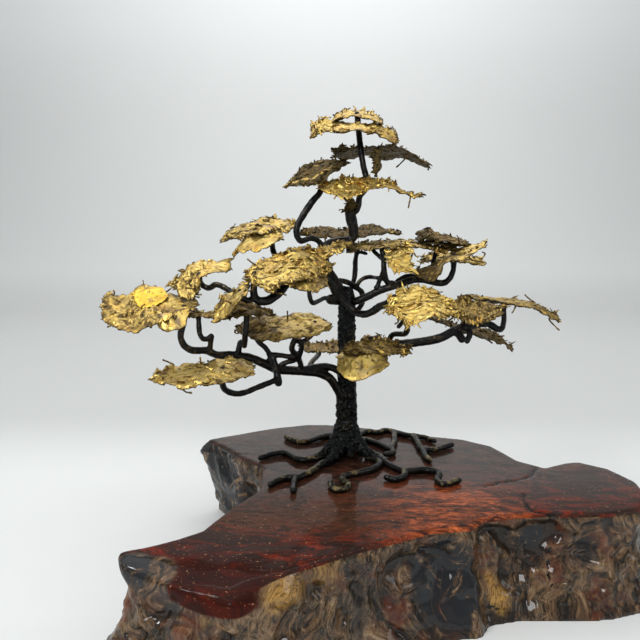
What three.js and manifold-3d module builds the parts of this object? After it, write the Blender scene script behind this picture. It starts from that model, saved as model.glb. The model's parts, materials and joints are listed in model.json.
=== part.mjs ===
// A tree sculpture in the bonsai manner: bent blackened rods, torch-cut brass sheets and a burl slab.
// Millimetres, +Z up. The origin is on the slab's flat underside, straight below the trunk's axis.
// The front of the sculpture faces -Y.
import * as THREE from 'three';
import { mergeVertices } from 'three/addons/utils/BufferGeometryUtils.js';
import Module from 'manifold-3d';

const wasm = await Module();
wasm.setup();

// Driving dimensions
const treeHeight = 294; // from the slab's top face to the crown's peak
const slabHeight = 70;
const slabWidth = 368; // along X
const slabDepth = 315; // along Y
const slabRimDrop = 3; // height of the rolled rim below the top face
const slabRimInset = 2.5;
const trunkDiameter = 13.2; // at the top of the trunk
const trunkFootDiameter = 18;
const crotchDiameter = 10.5; // the thick limb that leaves the trunk's top
const heavyRod = 7.6; // the two long lower limbs
const stoutRod = 6.2;
const plainRod = 4.8;
const thinRod = 3.8;
const braceKnob = 9; // round lump of braze beside the trunk's top
const rootRod = 4.8;
const knotSwell = 0.6; // how much a joint or a rod's foot swells with braze
const tipDraw = 0.4; // how much a rod is drawn out towards its tip
const sheetThickness = 1.6;
const weldGap = 0.3; // kept between neighbours where they are brazed

// The pose was drawn at this height and these slab sizes, and is scaled from them
const drawnTreeHeight = 294;
const drawnSlabWidth = 368;
const drawnSlabDepth = 315;
const pose = treeHeight / drawnTreeHeight;

// Facets
const thinSides = 4;
const rodSides = 5;
const limbSides = 6;
const trunkSides = 9;
const sheetPitch = 16; // length of a facet along a sheet, at the drawn height
const sheetRowPitch = 25; // and across it
const fewestColumns = 3;
const mostRows = 2;
const slabPoints = 44;

// A point of the tree, given from the slab's top face at the trunk's axis
const at = ([x, y, z]) => new THREE.Vector3(x * pose, y * pose, slabHeight + z * pose);

// A smooth waviness between -1 and 1 over two coordinates
function ripple(a, b, seed) {
  const coarse = Math.sin(2.1 * a + 1.3 * b + seed);
  const middle = Math.sin(3.7 * b - 1.9 * a + 2.3 * seed);
  const fine = Math.sin(5.3 * a + 4.1 * b + 0.7 * seed);
  return (coarse + middle + fine) / 3;
}

// Solids and geometries
function toSolid(geometry) {
  const bare = geometry.clone();
  bare.deleteAttribute('normal');
  bare.deleteAttribute('uv');
  const merged = mergeVertices(bare, 1e-4);
  return new wasm.Manifold(new wasm.Mesh({
    numProp: 3,
    vertProperties: new Float32Array(merged.attributes.position.array),
    triVerts: new Uint32Array(merged.index.array),
  }));
}

function toGeometry(solid) {
  const mesh = solid.getMesh();
  const geometry = new THREE.BufferGeometry();
  geometry.setAttribute('position', new THREE.BufferAttribute(new Float32Array(mesh.vertProperties), 3));
  geometry.setIndex(new THREE.BufferAttribute(new Uint32Array(mesh.triVerts), 1));
  const faceted = geometry.toNonIndexed();
  faceted.computeVertexNormals();
  return faceted;
}

const joined = (solids) => solids.reduce((whole, piece) => whole.add(piece));

// Frames along a curve that don't twist, one at each route point
function framesAlong(curve, count) {
  const frames = [];
  let side = new THREE.Vector3(0, 1, 0);
  for (let i = 0; i <= count; i += 1) {
    const centre = curve.getPoint(i / count);
    const tangent = curve.getTangent(i / count);
    if (Math.abs(side.dot(tangent)) > 0.95) side = new THREE.Vector3(1, 0, 0);
    side = side.clone().addScaledVector(tangent, -side.dot(tangent)).normalize();
    frames.push({ centre, side, up: new THREE.Vector3().crossVectors(side, tangent) });
  }
  return frames;
}

// A bent rod through the route's points; its diameters are spread evenly along it
function rodSolid({ route, sizes, sides = rodSides }, extra = 0) {
  const curve = new THREE.CatmullRomCurve3(route, false, 'centripetal');
  const steps = route.length - 1;
  const frames = framesAlong(curve, steps);
  const geometry = new THREE.CylinderGeometry(1, 1, 1, sides, steps);
  const position = geometry.attributes.position;
  for (let i = 0; i < position.count; i += 1) {
    const share = position.getY(i) + 0.5;
    const { centre, side, up } = frames[Math.round(share * steps)];
    const place = share * (sizes.length - 1);
    const low = Math.min(Math.floor(place), sizes.length - 2);
    const diameter = sizes.length === 1
      ? sizes[0]
      : THREE.MathUtils.lerp(sizes[low], sizes[low + 1], place - low);
    const radius = diameter / 2 + extra;
    const point = centre.clone()
      .addScaledVector(side, radius * position.getX(i))
      .addScaledVector(up, radius * position.getZ(i));
    position.setXYZ(i, point.x, point.y, point.z);
  }
  return toSolid(geometry);
}

// A torn, crumpled sheet between its far and near edges, both from left to right.
// It reaches below and above its middle face by the two given amounts.
const rimTear = 1.6 * pose; // how far the torn rim wanders
const crumpleHeight = 1.3 * pose;
const crumpleReach = 16 * pose; // a dent's size in plan
function sheetSolid({ far, near, seed, fold = 0, lift = 0, crumple = 1 }, below, above) {
  const farCurve = new THREE.CatmullRomCurve3(far.map(at), false, 'centripetal');
  const nearCurve = new THREE.CatmullRomCurve3(near.map(at), false, 'centripetal');
  const along = farCurve.getPoint(1).add(nearCurve.getPoint(1))
    .sub(farCurve.getPoint(0)).sub(nearCurve.getPoint(0)).normalize();
  const across = farCurve.getPoint(0.25).add(farCurve.getPoint(0.75))
    .sub(nearCurve.getPoint(0.25)).sub(nearCurve.getPoint(0.75)).normalize();
  const normal = new THREE.Vector3().crossVectors(along, across).normalize();
  const width = farCurve.getPoint(0.5).distanceTo(nearCurve.getPoint(0.5));
  const columns = Math.max(fewestColumns, Math.round(farCurve.getLength() / (sheetPitch * pose)));
  const rows = THREE.MathUtils.clamp(Math.round(width / (sheetRowPitch * pose)), 1, mostRows);
  const geometry = new THREE.BoxGeometry(1, 1, 1, columns, rows, 1);
  const position = geometry.attributes.position;
  for (let i = 0; i < position.count; i += 1) {
    const u = position.getX(i) + 0.5;
    const v = position.getY(i) + 0.5;
    const edge = 2 * v - 1;
    const end = 2 * u - 1;
    const point = nearCurve.getPoint(u).lerp(farCurve.getPoint(u), v);
    const tear = rimTear * ripple(u * columns * 1.3, edge, seed);
    const dent = crumpleHeight * crumple
      * ripple(point.x / crumpleReach, point.y / crumpleReach, seed);
    const rise = position.getZ(i) > 0 ? above : -below;
    point.addScaledVector(across, edge * tear);
    point.addScaledVector(along, end ** 3 * rimTear * ripple(v * 4, end, seed + 2));
    const ridge = (fold * (1 - Math.abs(edge)) + lift) * pose;
    point.addScaledVector(normal, dent + ridge + rise);
    position.setXYZ(i, point.x, point.y, point.z);
  }
  return toSolid(geometry);
}

// Burl slab: its outline in plan with how far the foot stands out below each point
const slabOutline = [
  [-131, 45, -10], [-103, 11, -4], [-87, -15, -2], [-75, -21, 0], [-70, -76, 4], [-75, -87, 4],
  [-95, -127, 8], [-99, -143, 10], [-116, -158, 14], [-135, -170, 20], [-143, -177, 24],
  [-110, -209, 12], [-68, -219, 8], [-23, -187, 8], [15, -169, 10], [48, -150, 12], [80, -144, 12],
  [90, -130, 10], [142, -124, 14], [170, -125, 12], [205, -115, 10], [225, -80, 8], [222, -40, 6],
  [200, -15, 4], [182, -18, 4], [156, -30, 4], [141, 19, 6], [116, 46, 6], [52, 69, 6], [29, 83, 4],
  [-12, 96, 4], [-37, 96, 4], [-72, 83, 2], [-97, 68, -2], [-115, 57, -8],
];
const slabWaist = 4; // how far the side draws in between foot and rim
const slabGnarl = 2.5; // depth of the burl's lumps

function slabSolid() {
  const plan = slabOutline.map(([x, y]) => new THREE.Vector3(
    x * slabWidth / drawnSlabWidth,
    y * slabDepth / drawnSlabDepth,
    0,
  ));
  const flares = slabOutline.map(([, , flare]) => new THREE.Vector3(flare, 0, 0));
  const outline = new THREE.CatmullRomCurve3(plan, true, 'centripetal').getPoints(slabPoints);
  const flare = new THREE.CatmullRomCurve3(flares, true, 'centripetal').getPoints(slabPoints);
  outline.pop();
  const shape = new THREE.Shape(outline.map(({ x, y }) => new THREE.Vector2(x, y)));
  const levels = [0, 0.28, 0.56, 0.8, 1 - slabRimDrop / slabHeight, 1];
  const steps = levels.length - 1;
  const geometry = new THREE.ExtrudeGeometry(shape, { depth: steps, steps, bevelEnabled: false });
  const position = geometry.attributes.position;
  for (let i = 0; i < position.count; i += 1) {
    const [x, y, level] = [position.getX(i), position.getY(i), Math.round(position.getZ(i))];
    const index = outline.findIndex((p) => Math.hypot(p.x - x, p.y - y) < 1e-3);
    const before = outline[(index + slabPoints - 1) % slabPoints];
    const after = outline[(index + 1) % slabPoints];
    const outward = new THREE.Vector3(after.y - before.y, before.x - after.x, 0).normalize();
    const height = levels[level];
    const gnarl = slabGnarl * ripple(index * 0.9, height * 3, 4) * Math.sin(Math.PI * height);
    const waist = slabWaist * Math.sin(Math.PI * height);
    const rim = level === steps ? slabRimInset : 0;
    const offset = flare[index].x * (1 - height) ** 2 + gnarl - waist - rim;
    position.setXYZ(i, x + outward.x * offset, y + outward.y * offset, height * slabHeight);
  }
  return toSolid(geometry);
}

// Trunk: a lathe-like stem with braze lumps, and the legs that spread into the roots
const trunkProfile = [ // height above the slab, and the share of the way from foot to top diameter
  [0, -0.1], [14, -0.15], [26, 0.05], [40, 0.2], [56, 0.45], [72, 0.7], [90, 0.9],
  [116, 1], [138, 1.05], [143, 1.9],
];
const trunkLumps = 0.7;
const legs = [
  [[-3, -1, 17], [-11, -5, 10], [-20, -9, 4]],
  [[-2, -3, 15], [-8, -13, 8], [-13, -22, 4]],
  [[3, -3, 15], [12, -9, 9], [21, -14, 4]],
  [[2, 4, 15], [6, 18, 9], [10, 32, 4]],
  [[3, 3, 13], [10, 13, 8], [15, 25, 4]],
  [[-2, 4, 15], [-6, 18, 9], [-10, 31, 4]],
];
const legSizes = [11, 8, rootRod + knotSwell];

function trunkSolid(extra = 0) {
  const steps = trunkProfile.length - 1;
  const geometry = new THREE.CylinderGeometry(1, 1, 1, trunkSides, steps);
  const position = geometry.attributes.position;
  for (let i = 0; i < position.count; i += 1) {
    const level = Math.round((position.getY(i) + 0.5) * steps);
    const [height, share] = trunkProfile[level];
    const angle = Math.atan2(position.getX(i), position.getZ(i));
    const rim = Math.hypot(position.getX(i), position.getZ(i));
    const lump = trunkLumps * ripple(Math.cos(angle) * 1.7, Math.sin(angle) * 1.7 + height * 0.3, 1);
    const radius = THREE.MathUtils.lerp(trunkFootDiameter, trunkDiameter, share) / 2 + lump + extra;
    const z = slabHeight + (level === 0 ? weldGap - extra : height * pose);
    position.setXYZ(i, rim * radius * Math.sin(angle), -rim * radius * Math.cos(angle), z);
  }
  const stem = toSolid(geometry);
  return joined([stem, ...legs.map((leg) => rodSolid({ route: leg.map(at), sizes: legSizes }, extra))]);
}

// Roots lie on the slab; each route is given in plan
const rootLevel = slabHeight + weldGap + (rootRod + knotSwell) / 2;
const onSlab = ([x, y]) => new THREE.Vector3(x * pose, y * pose, rootLevel);
const rootSizes = [rootRod + knotSwell, rootRod, rootRod - tipDraw];
const roots = {
  root_left: [
    [[-17, -8], [-31, -19], [-40, -20], [-47, -11], [-53, -2], [-62, -3], [-74, -15]],
  ],
  root_front_left: [
    [[-12, -20], [-22, -31], [-29, -46], [-37, -57], [-42, -63], [-43, -74], [-43, -87]],
    [[-41, -61], [-49, -61], [-56, -67], [-61, -75]],
  ],
  root_front: [
    [[18, -14], [27, -24], [21, -41], [12, -48], [-4, -58], [-5, -66], [-1, -75], [-6, -85],
      [-13, -84], [-15, -71]],
  ],
  root_right: [
    [[18, -11], [27, -15], [32, -26], [38, -39], [45, -46], [62, -44], [70, -47], [72, -54],
      [68, -65], [71, -74], [85, -66]],
    [[45, -46], [44, -57], [36, -64], [29, -61]],
  ],
  root_back_right: [
    [[9, 29], [15, 50], [24, 61], [33, 58], [41, 65], [58, 51], [67, 46], [76, 42], [83, 31]],
    [[49, 59], [46, 31], [41, 10], [41, -2], [34, -7]],
    [[66, 46], [67, 28], [69, 7], [79, 7], [97, 20]],
    [[69, 9], [68, -9], [70, -21]],
  ],
  root_inner_right: [
    [[14, 22], [19, 36], [27, 28], [35, 16], [41, 4]],
  ],
  root_back_left: [
    [[-9, 29], [-12, 48], [-22, 41], [-32, 32], [-41, 29], [-49, 35], [-55, 44]],
  ],
};

// Limbs with the twigs brazed to them, in the order in which they were joined.
// under names the leaves whose undersides end the rod.
const limbs = {
  limb_leader: {
    rods: [
      { sides: limbSides,
        sizes: [crotchDiameter + knotSwell, crotchDiameter, crotchDiameter - 2 * knotSwell, heavyRod],
        route: [[-1, 0, 137], [-8, -2, 147], [-15, -6, 158], [-19, -8, 165],
          [-20, -4, 179], [-15, -3, 184], [-8, -2, 186], [0, 0, 187]] },
      { sides: limbSides, sizes: [heavyRod, heavyRod, crotchDiameter - knotSwell, heavyRod],
        route: [[-8, -2, 186], [0, 0, 187], [5, 0, 190], [5, 0, 198], [3, 0, 206], [2, 0, 214],
          [3, 0, 219]] },
      { sizes: [plainRod + tipDraw],
        route: [[3, -1, 209], [8, -3, 213], [10, -5, 224], [14, -4, 229], [16, -2, 237],
          [14, 0, 245], [12, 0, 255], [10, 0, 270], [8, 0, 292]],
        under: [['foliage_crown', 0]] },
    ],
  },
  limb_top_left: {
    rods: [
      { sizes: [plainRod, plainRod, plainRod + 2 * knotSwell, plainRod - tipDraw],
        route: [[-19, -4, 179], [-22, -5, 184], [-26, -7, 188], [-31, -9, 189], [-39, -11, 187],
          [-42, -12, 191], [-42, -11, 198], [-37, -8, 208], [-28, -5, 221], [-23, -3, 227],
          [-21, -1, 236], [-21, 0, 248]],
        under: [['foliage_top_left', 0]] },
    ],
  },
  limb_middle_left: {
    rods: [
      { sizes: [stoutRod, stoutRod, stoutRod + 2 * knotSwell, plainRod],
        route: [[-12, -5, 153], [-18, -12, 157], [-26, -19, 160], [-34, -26, 161], [-41, -32, 160],
          [-47, -38, 156], [-52, -42, 150], [-57, -45, 145], [-64, -48, 141], [-71, -49, 141],
          [-74, -50, 145], [-74, -50, 151], [-73, -50, 168]],
        under: [['foliage_left_front', 0]] },
      { sizes: [plainRod], route: [[-73, -50, 143], [-80, -54, 142], [-85, -57, 151]],
        under: [['foliage_left_drop', 0]] },
      { sizes: [plainRod], route: [[-44, -35, 158], [-45, -40, 165], [-44, -42, 177]],
        under: [['foliage_left_front', 0]] },
      { sizes: [plainRod],
        route: [[-52, -41, 150], [-54, -32, 158], [-58, -22, 167], [-60, -15, 175], [-62, -12, 180],
          [-64, -9, 199]],
        under: [['foliage_upper_left', 1]] },
    ],
  },
  twig_left: {
    rods: [
      { sizes: [plainRod],
        route: [[-82, -54, 143], [-91, -48, 147], [-100, -44, 152], [-105, -42, 153], [-111, -39, 150],
          [-118, -36, 154], [-119, -34, 167]],
        under: [['foliage_left_bend', 0]] },
    ],
  },
  limb_front: {
    rods: [
      { sizes: [stoutRod],
        route: [[-25, -33, 179], [-24, -28, 167], [-20, -21, 158], [-14, -15, 151], [-10, -12, 144],
          [-4, -11, 138], [2, -11, 132], [7, -13, 128], [13, -20, 127], [19, -29, 130], [24, -38, 135],
          [30, -48, 139], [38, -56, 147]],
        under: [['foliage_left_front', 0], ['foliage_front', 0]] },
      { sizes: [plainRod, braceKnob], route: [[-1, 0, 134], [-9, -10, 137], [-14, -18, 139]] },
      { sides: thinSides, sizes: [thinRod],
        route: [[-9, -12, 138], [-19, -28, 141], [-24, -40, 140], [-29, -54, 140], [-31, -58, 146],
          [-31, -60, 168]],
        under: [['foliage_left_front', 1]] },
    ],
  },
  limb_arch: {
    rods: [
      { sizes: [plainRod],
        route: [[-10, -4, 153], [-4, 2, 153], [2, 6, 151], [8, 8, 147], [13, 9, 143], [14, 8, 138],
          [12, 4, 131], [2, 0, 122]] },
      { sides: thinSides, sizes: [thinRod],
        route: [[8, 8, 147], [12, 9, 153], [18, 7, 156], [23, 3, 156], [26, -6, 156]] },
    ],
  },
  limb_back: {
    rods: [
      { sides: thinSides, sizes: [thinRod, plainRod, thinRod],
        route: [[1, 4, 136], [4, 15, 145], [7, 21, 153], [8, 22, 162], [8, 19, 170], [9, 15, 177],
          [9, 12, 188]],
        under: [['foliage_centre_right', 0]] },
      { sides: thinSides, sizes: [thinRod - knotSwell], route: [[1, 17, 179], [9, 16, 178], [17, 14, 176]] },
    ],
  },
  limb_lower_left: {
    rods: [
      { sides: limbSides, sizes: [heavyRod, heavyRod, heavyRod, stoutRod, plainRod + tipDraw, plainRod],
        route: [[-1, -3, 49], [-8, -5, 60], [-14, -8, 70], [-22, -10, 75], [-36, -15, 78],
          [-49, -20, 80], [-59, -25, 82], [-66, -28, 86], [-79, -35, 93], [-94, -43, 97],
          [-104, -48, 98], [-111, -52, 102], [-123, -58, 104], [-128, -60, 109],
          [-129, -62, 116], [-127, -62, 124], [-126, -61, 131], [-127, -60, 143]],
        under: [['foliage_far_left', 0], ['foliage_far_left', 2]] },
      { sizes: [stoutRod], route: [[-1, -5, 71], [-9, -8, 78], [-18, -9, 81], [-41, -17, 79]] },
      { sizes: [plainRod, stoutRod + knotSwell],
        route: [[-61, -28, 91], [-59, -29, 84], [-58, -30, 78], [-57, -31, 72]] },
      { sizes: [plainRod],
        route: [[-57, -31, 75], [-70, -43, 72], [-84, -60, 70], [-90, -67, 72], [-94, -71, 75],
          [-96, -74, 80], [-96, -75, 98]],
        under: [['foliage_low_left', 0]] },
      { sizes: [plainRod - knotSwell],
        route: [[-117, -53, 135], [-115, -57, 115], [-113, -56, 112], [-110, -55, 112],
          [-107, -54, 114], [-108, -53, 109], [-109, -51, 101]],
        under: [['foliage_left_drop', 2]] },
      { sizes: [plainRod], route: [[-79, -54, 139], [-80, -55, 121], [-81, -54, 114], [-82, -51, 106]],
        under: [['foliage_left_drop', 1]] },
      { sizes: [plainRod], route: [[-82, -52, 109], [-85, -49, 108], [-87, -45, 103], [-88, -40, 97]] },
      { sizes: [plainRod - tipDraw],
        route: [[-76, -33, 122], [-74, -32, 108], [-67, -30, 100], [-64, -28, 94], [-65, -27, 86]],
        under: [['foliage_lower_left', 0]] },
      { sizes: [plainRod - tipDraw], route: [[-65, -28, 95], [-57, -27, 94], [-45, -25, 92]] },
      { sizes: [plainRod],
        route: [[-41, -31, 124], [-42, -30, 111], [-45, -29, 104], [-46, -27, 99], [-41, -22, 91],
          [-38, -17, 80]],
        under: [['foliage_lower_left', 0]] },
      { sizes: [plainRod - tipDraw],
        route: [[-42, -30, 109], [-38, -27, 103], [-39, -24, 96], [-42, -22, 90], [-52, -24, 87],
          [-59, -25, 83]] },
      { sides: thinSides, sizes: [thinRod],
        route: [[-40, -28, 105], [-34, -27, 107], [-28, -26, 113], [-27, -26, 126]],
        under: [['foliage_lower_left', 0]] },
      { sizes: [plainRod - tipDraw], route: [[-33, -14, 80], [-30, -5, 84], [-24, 15, 88], [-22, 22, 97]],
        under: [['foliage_trunk_back', 0]] },
    ],
  },
  limb_lower_right: {
    rods: [
      { sides: limbSides, sizes: [heavyRod, heavyRod, heavyRod, stoutRod, plainRod, thinRod + tipDraw],
        route: [[-1, 0, 90], [8, 0, 95], [18, 0, 96], [39, -4, 99], [56, -7, 101],
          [78, -12, 106], [92, -14, 114], [99, -14, 116], [118, -12, 118], [125, -11, 114],
          [130, -9, 113], [132, -8, 118], [132, -8, 128], [131, -8, 141]],
        under: [['foliage_far_right', 0]] },
      { sizes: [stoutRod, stoutRod + knotSwell], route: [[90, -14, 113], [93, -16, 109], [95, -18, 106]] },
      { sizes: [plainRod], route: [[99, -14, 116], [102, -16, 111], [100, -16, 104]] },
      { sizes: [plainRod], route: [[94, -14, 115], [97, -22, 122], [99, -34, 142]],
        under: [['foliage_right_ridged', 0]] },
      { sizes: [plainRod], route: [[20, -1, 96], [20, -6, 99], [20, -10, 108]],
        under: [['foliage_trunk_front', 1]] },
    ],
  },
  twig_front: {
    rods: [
      { sizes: [plainRod],
        route: [[43, -53, 153], [42, -50, 134], [46, -38, 123], [48, -30, 117], [47, -22, 111],
          [43, -16, 110], [38, -9, 108], [35, -4, 100]],
        under: [['foliage_front', 0]] },
      { sides: thinSides, sizes: [thinRod], route: [[45, -40, 125], [42, -42, 123], [39, -44, 120]] },
    ],
  },
  limb_middle_right: {
    rods: [
      { sides: limbSides, sizes: [stoutRod, stoutRod + knotSwell, stoutRod, plainRod, plainRod - tipDraw],
        route: [[0, 0, 128], [4, -4, 135], [9, -6, 137], [16, -7, 140], [28, -9, 146], [44, -9, 151],
          [58, -9, 155], [80, -9, 152], [85, -8, 155], [88, -8, 161], [89, -8, 168],
          [89, -8, 180]],
        under: [['foliage_right_slant', 0]] },
      { sizes: [plainRod],
        route: [[36, -7, 148], [44, -4, 154], [50, -3, 157], [56, -4, 157], [63, -8, 155]] },
      { sides: thinSides, sizes: [thinRod],
        route: [[73, -8, 153], [73, 5, 161], [75, 11, 169], [77, 13, 177], [78, 12, 190]],
        under: [['foliage_right_dark', 1]] },
      { sides: thinSides, sizes: [thinRod - knotSwell], route: [[88, -8, 165], [90, 4, 167], [92, 15, 177]],
        under: [['foliage_right_back', 0]] },
    ],
  },
  twig_right: {
    rods: [
      { sizes: [plainRod],
        route: [[38, -8, 150], [33, -9, 153], [31, -11, 159], [30, -12, 165], [30, -10, 172],
          [29, -8, 178], [29, -6, 189]],
        under: [['foliage_centre_right', 0]] },
      { sides: thinSides, sizes: [thinRod],
        route: [[24, -8, 144], [26, -9, 152], [28, -10, 158], [30, -12, 164]] },
      { sides: thinSides, sizes: [thinRod], route: [[29, -9, 172], [26, 0, 175], [23, 8, 179], [22, 11, 190]],
        under: [['foliage_centre_right', 0]] },
    ],
  },
};

// Brass sheets of the foliage; each holds one or more torn leaves and the bits brazed to them
const foliage = {
  foliage_crown: { sheets: [
    { seed: 1,
      far: [[-11, 20, 290], [-4, 26, 296], [8, 28, 299], [19, 26, 297], [27, 20, 291]],
      near: [[-16, -8, 281], [-6, -4, 286], [5, -2, 287], [16, -4, 286], [28, -8, 280]] },
    { seed: 2,
      far: [[-31, 0, 283], [-18, -6, 284], [-3, -10, 282], [14, -10, 279], [27, -5, 282], [40, 0, 274]],
      near: [[-30, -16, 268], [-19, -28, 272], [-6, -33, 271], [6, -33, 272], [19, -28, 270],
        [39, -14, 264]] },
  ] },
  foliage_top_back: {
    sheets: [
      { seed: 3,
        far: [[-10, 30, 259], [1, 38, 258], [18, 42, 262], [33, 42, 260], [48, 36, 260], [61, 26, 254],
          [70, 16, 249]],
        near: [[-12, 5, 263], [-1, 3, 264], [12, 0, 264], [30, 0, 265], [44, -4, 262], [59, 2, 256],
          [70, 8, 250]] },
    ],
    rods: [
      { sides: thinSides, sizes: [thinRod, plainRod, heavyRod],
        route: [[22, -2, 239], [25, 3, 246], [26, 8, 254], [26, 10, 264]] },
    ],
  },
  foliage_top_left: { sheets: [
    { seed: 4, fold: 3,
      far: [[-51, 12, 233], [-43, 18, 244], [-33, 22, 252], [-21, 22, 256], [-9, 18, 255], [1, 10, 253]],
      near: [[-52, -4, 230], [-40, -16, 232], [-29, -20, 231], [-21, -20, 235], [-12, -16, 241],
        [-1, -6, 249]] },
  ] },
  foliage_top_front: { sheets: [
    { seed: 5,
      far: [[-24, -4, 233], [-12, -7, 237], [3, -7, 239], [20, -7, 237], [33, -6, 236], [46, -4, 229],
        [60, -8, 225]],
      near: [[-22, -26, 226], [-10, -34, 222], [2, -36, 220], [15, -34, 226], [28, -30, 228], [44, -22, 224],
        [59, -14, 221]] },
    { seed: 6,
      far: [[-4, -5, 211], [1, -5, 212], [5, -5, 212]],
      near: [[-3, -30, 223], [1, -31, 224], [4, -30, 224]] },
  ] },
  foliage_upper_left: { sheets: [
    { seed: 7,
      far: [[-109, 20, 189], [-100, 26, 197], [-87, 30, 203], [-72, 32, 206], [-57, 28, 206], [-44, 18, 202]],
      near: [[-107, 2, 186], [-91, -8, 189], [-79, -12, 191], [-66, -12, 194], [-53, -8, 194],
        [-43, 2, 198]] },
    { seed: 8, crumple: 0.5,
      far: [[-91, -9, 183], [-83, -5, 192], [-71, -3, 197], [-60, -4, 198], [-54, -8, 195]],
      near: [[-94, -18, 175], [-83, -26, 178], [-73, -30, 179], [-62, -28, 184], [-53, -18, 189]] },
  ] },
  foliage_left_front: { sheets: [
    { seed: 9,
      far: [[-81, -40, 160], [-75, -34, 169], [-63, -30, 174], [-47, -28, 179], [-34, -26, 181],
        [-25, -26, 177], [-14, -28, 169]],
      near: [[-76, -66, 158], [-67, -74, 152], [-57, -78, 150], [-45, -76, 156], [-33, -70, 158],
        [-25, -62, 159], [-15, -44, 164]] },
    { seed: 10,
      far: [[-50, -62, 161], [-40, -58, 165], [-29, -54, 166], [-19, -46, 163]],
      near: [[-46, -70, 155], [-35, -80, 151], [-27, -78, 150], [-17, -62, 154]] },
    { seed: 11,
      far: [[-32, -22, 182], [-22, -18, 181], [-12, -15, 184], [3, -12, 188]],
      near: [[-31, -37, 171], [-20, -30, 171], [-9, -26, 177], [4, -20, 184]] },
  ] },
  foliage_far_left: { sheets: [
    { seed: 12,
      far: [[-193, -46, 141], [-189, -40, 147], [-180, -38, 144], [-170, -34, 149], [-162, -32, 151],
        [-151, -34, 147], [-136, -38, 144], [-119, -42, 141]],
      near: [[-188, -66, 129], [-177, -74, 124], [-167, -80, 122], [-158, -84, 120], [-148, -84, 126],
        [-139, -82, 128], [-128, -76, 132], [-117, -64, 135]] },
    { seed: 13, lift: 0.7, crumple: 0.4,
      far: [[-170, -44, 146], [-166, -37, 149], [-159, -33, 151], [-150, -35, 149], [-143, -42, 146]],
      near: [[-166, -54, 142], [-160, -60, 137], [-152, -62, 136], [-145, -58, 139], [-141, -50, 143]] },
    { seed: 14,
      far: [[-143, -60, 138], [-136, -58, 139], [-123, -58, 138]],
      near: [[-140, -78, 124], [-131, -84, 121], [-122, -80, 126]] },
  ] },
  foliage_left_drop: { sheets: [
    { seed: 15,
      far: [[-104, -55, 138], [-97, -52, 145], [-90, -50, 149], [-84, -48, 152], [-79, -46, 153]],
      near: [[-102, -68, 126], [-90, -74, 134], [-84, -76, 141], [-80, -72, 146], [-77, -62, 150]] },
    { seed: 16,
      far: [[-99, -42, 136], [-93, -36, 138], [-84, -34, 140], [-74, -34, 137], [-60, -38, 132]],
      near: [[-101, -64, 128], [-95, -64, 128], [-85, -62, 130], [-75, -60, 130], [-60, -46, 130]] },
    { seed: 17,
      far: [[-130, -46, 131], [-120, -44, 132], [-109, -44, 132], [-93, -46, 134]],
      near: [[-127, -58, 128], [-117, -60, 129], [-107, -63, 130], [-92, -67, 132]] },
  ] },
  foliage_left_bend: { sheets: [
    { seed: 18,
      far: [[-144, -32, 150], [-138, -26, 158], [-131, -20, 166], [-124, -14, 170], [-112, -10, 170],
        [-96, -6, 172]],
      near: [[-135, -42, 149], [-124, -44, 151], [-118, -44, 153], [-116, -40, 159], [-107, -34, 161],
        [-97, -28, 162]] },
  ] },
  foliage_lower_left: { sheets: [
    { seed: 19,
      far: [[-92, -22, 118], [-82, -18, 124], [-71, -14, 126], [-58, -12, 125], [-43, -10, 126],
        [-32, -10, 126], [-14, -14, 120]],
      near: [[-89, -36, 114], [-77, -44, 111], [-65, -54, 110], [-52, -58, 112], [-40, -54, 113],
        [-28, -48, 114], [-14, -34, 117]] },
  ] },
  foliage_low_left: { sheets: [
    { seed: 20,
      far: [[-147, -80, 88], [-139, -71, 92], [-129, -64, 93], [-113, -60, 94], [-99, -56, 96],
        [-86, -53, 96], [-76, -50, 93]],
      near: [[-145, -88, 85], [-130, -96, 84], [-118, -102, 84], [-104, -104, 87], [-92, -102, 87],
        [-80, -94, 88], [-72, -76, 89]] },
  ] },
  foliage_trunk_front: { sheets: [
    { seed: 21, crumple: 0.4,
      far: [[-8, -15, 91], [2, -10, 98], [16, -10, 100], [31, -12, 98]],
      near: [[-9, -34, 84], [-2, -44, 78], [7, -48, 78], [20, -46, 82], [33, -36, 88]] },
    { seed: 22,
      far: [[-3, -9, 97], [9, -6, 103], [21, -5, 106], [34, -10, 104], [46, -14, 100], [53, -18, 98]],
      near: [[-4, -24, 94], [8, -30, 96], [21, -32, 96], [32, -32, 95], [42, -28, 94], [51, -23, 95]] },
  ] },
  foliage_trunk_back: { sheets: [
    { seed: 23,
      far: [[-41, 40, 92], [-27, 46, 93], [-10, 48, 93], [11, 48, 92], [27, 44, 92]],
      near: [[-40, 20, 90], [-27, 14, 88], [-11, 11, 89], [9, 11, 89], [25, 14, 89]] },
  ] },
  foliage_front: { sheets: [
    { seed: 24,
      far: [[27, -58, 138], [34, -50, 145], [43, -46, 150], [54, -44, 152], [64, -46, 150], [72, -50, 145],
        [80, -59, 138]],
      near: [[28, -72, 134], [34, -82, 131], [41, -88, 127], [50, -88, 130], [59, -86, 133], [69, -80, 131],
        [79, -69, 134]] },
  ] },
  foliage_right_ridged: { sheets: [
    { seed: 25,
      far: [[79, -40, 139], [89, -34, 140], [98, -31, 139], [111, -31, 138], [123, -31, 134]],
      near: [[77, -53, 132], [85, -62, 127], [94, -66, 124], [105, -62, 126], [118, -48, 131]] },
  ] },
  foliage_far_right: { sheets: [
    { seed: 26,
      far: [[99, 2, 140], [115, 6, 139], [132, 10, 137], [147, 10, 136], [160, 6, 134], [170, 0, 129],
        [179, -6, 123]],
      near: [[98, -12, 139], [108, -20, 137], [122, -24, 134], [135, -24, 132], [148, -22, 131],
        [162, -18, 125], [177, -13, 119]] },
  ] },
  foliage_right_under: { sheets: [
    { seed: 27,
      far: [[75, 20, 119], [90, 24, 116], [105, 26, 112], [120, 24, 109], [135, 18, 104], [145, 10, 94]],
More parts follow.
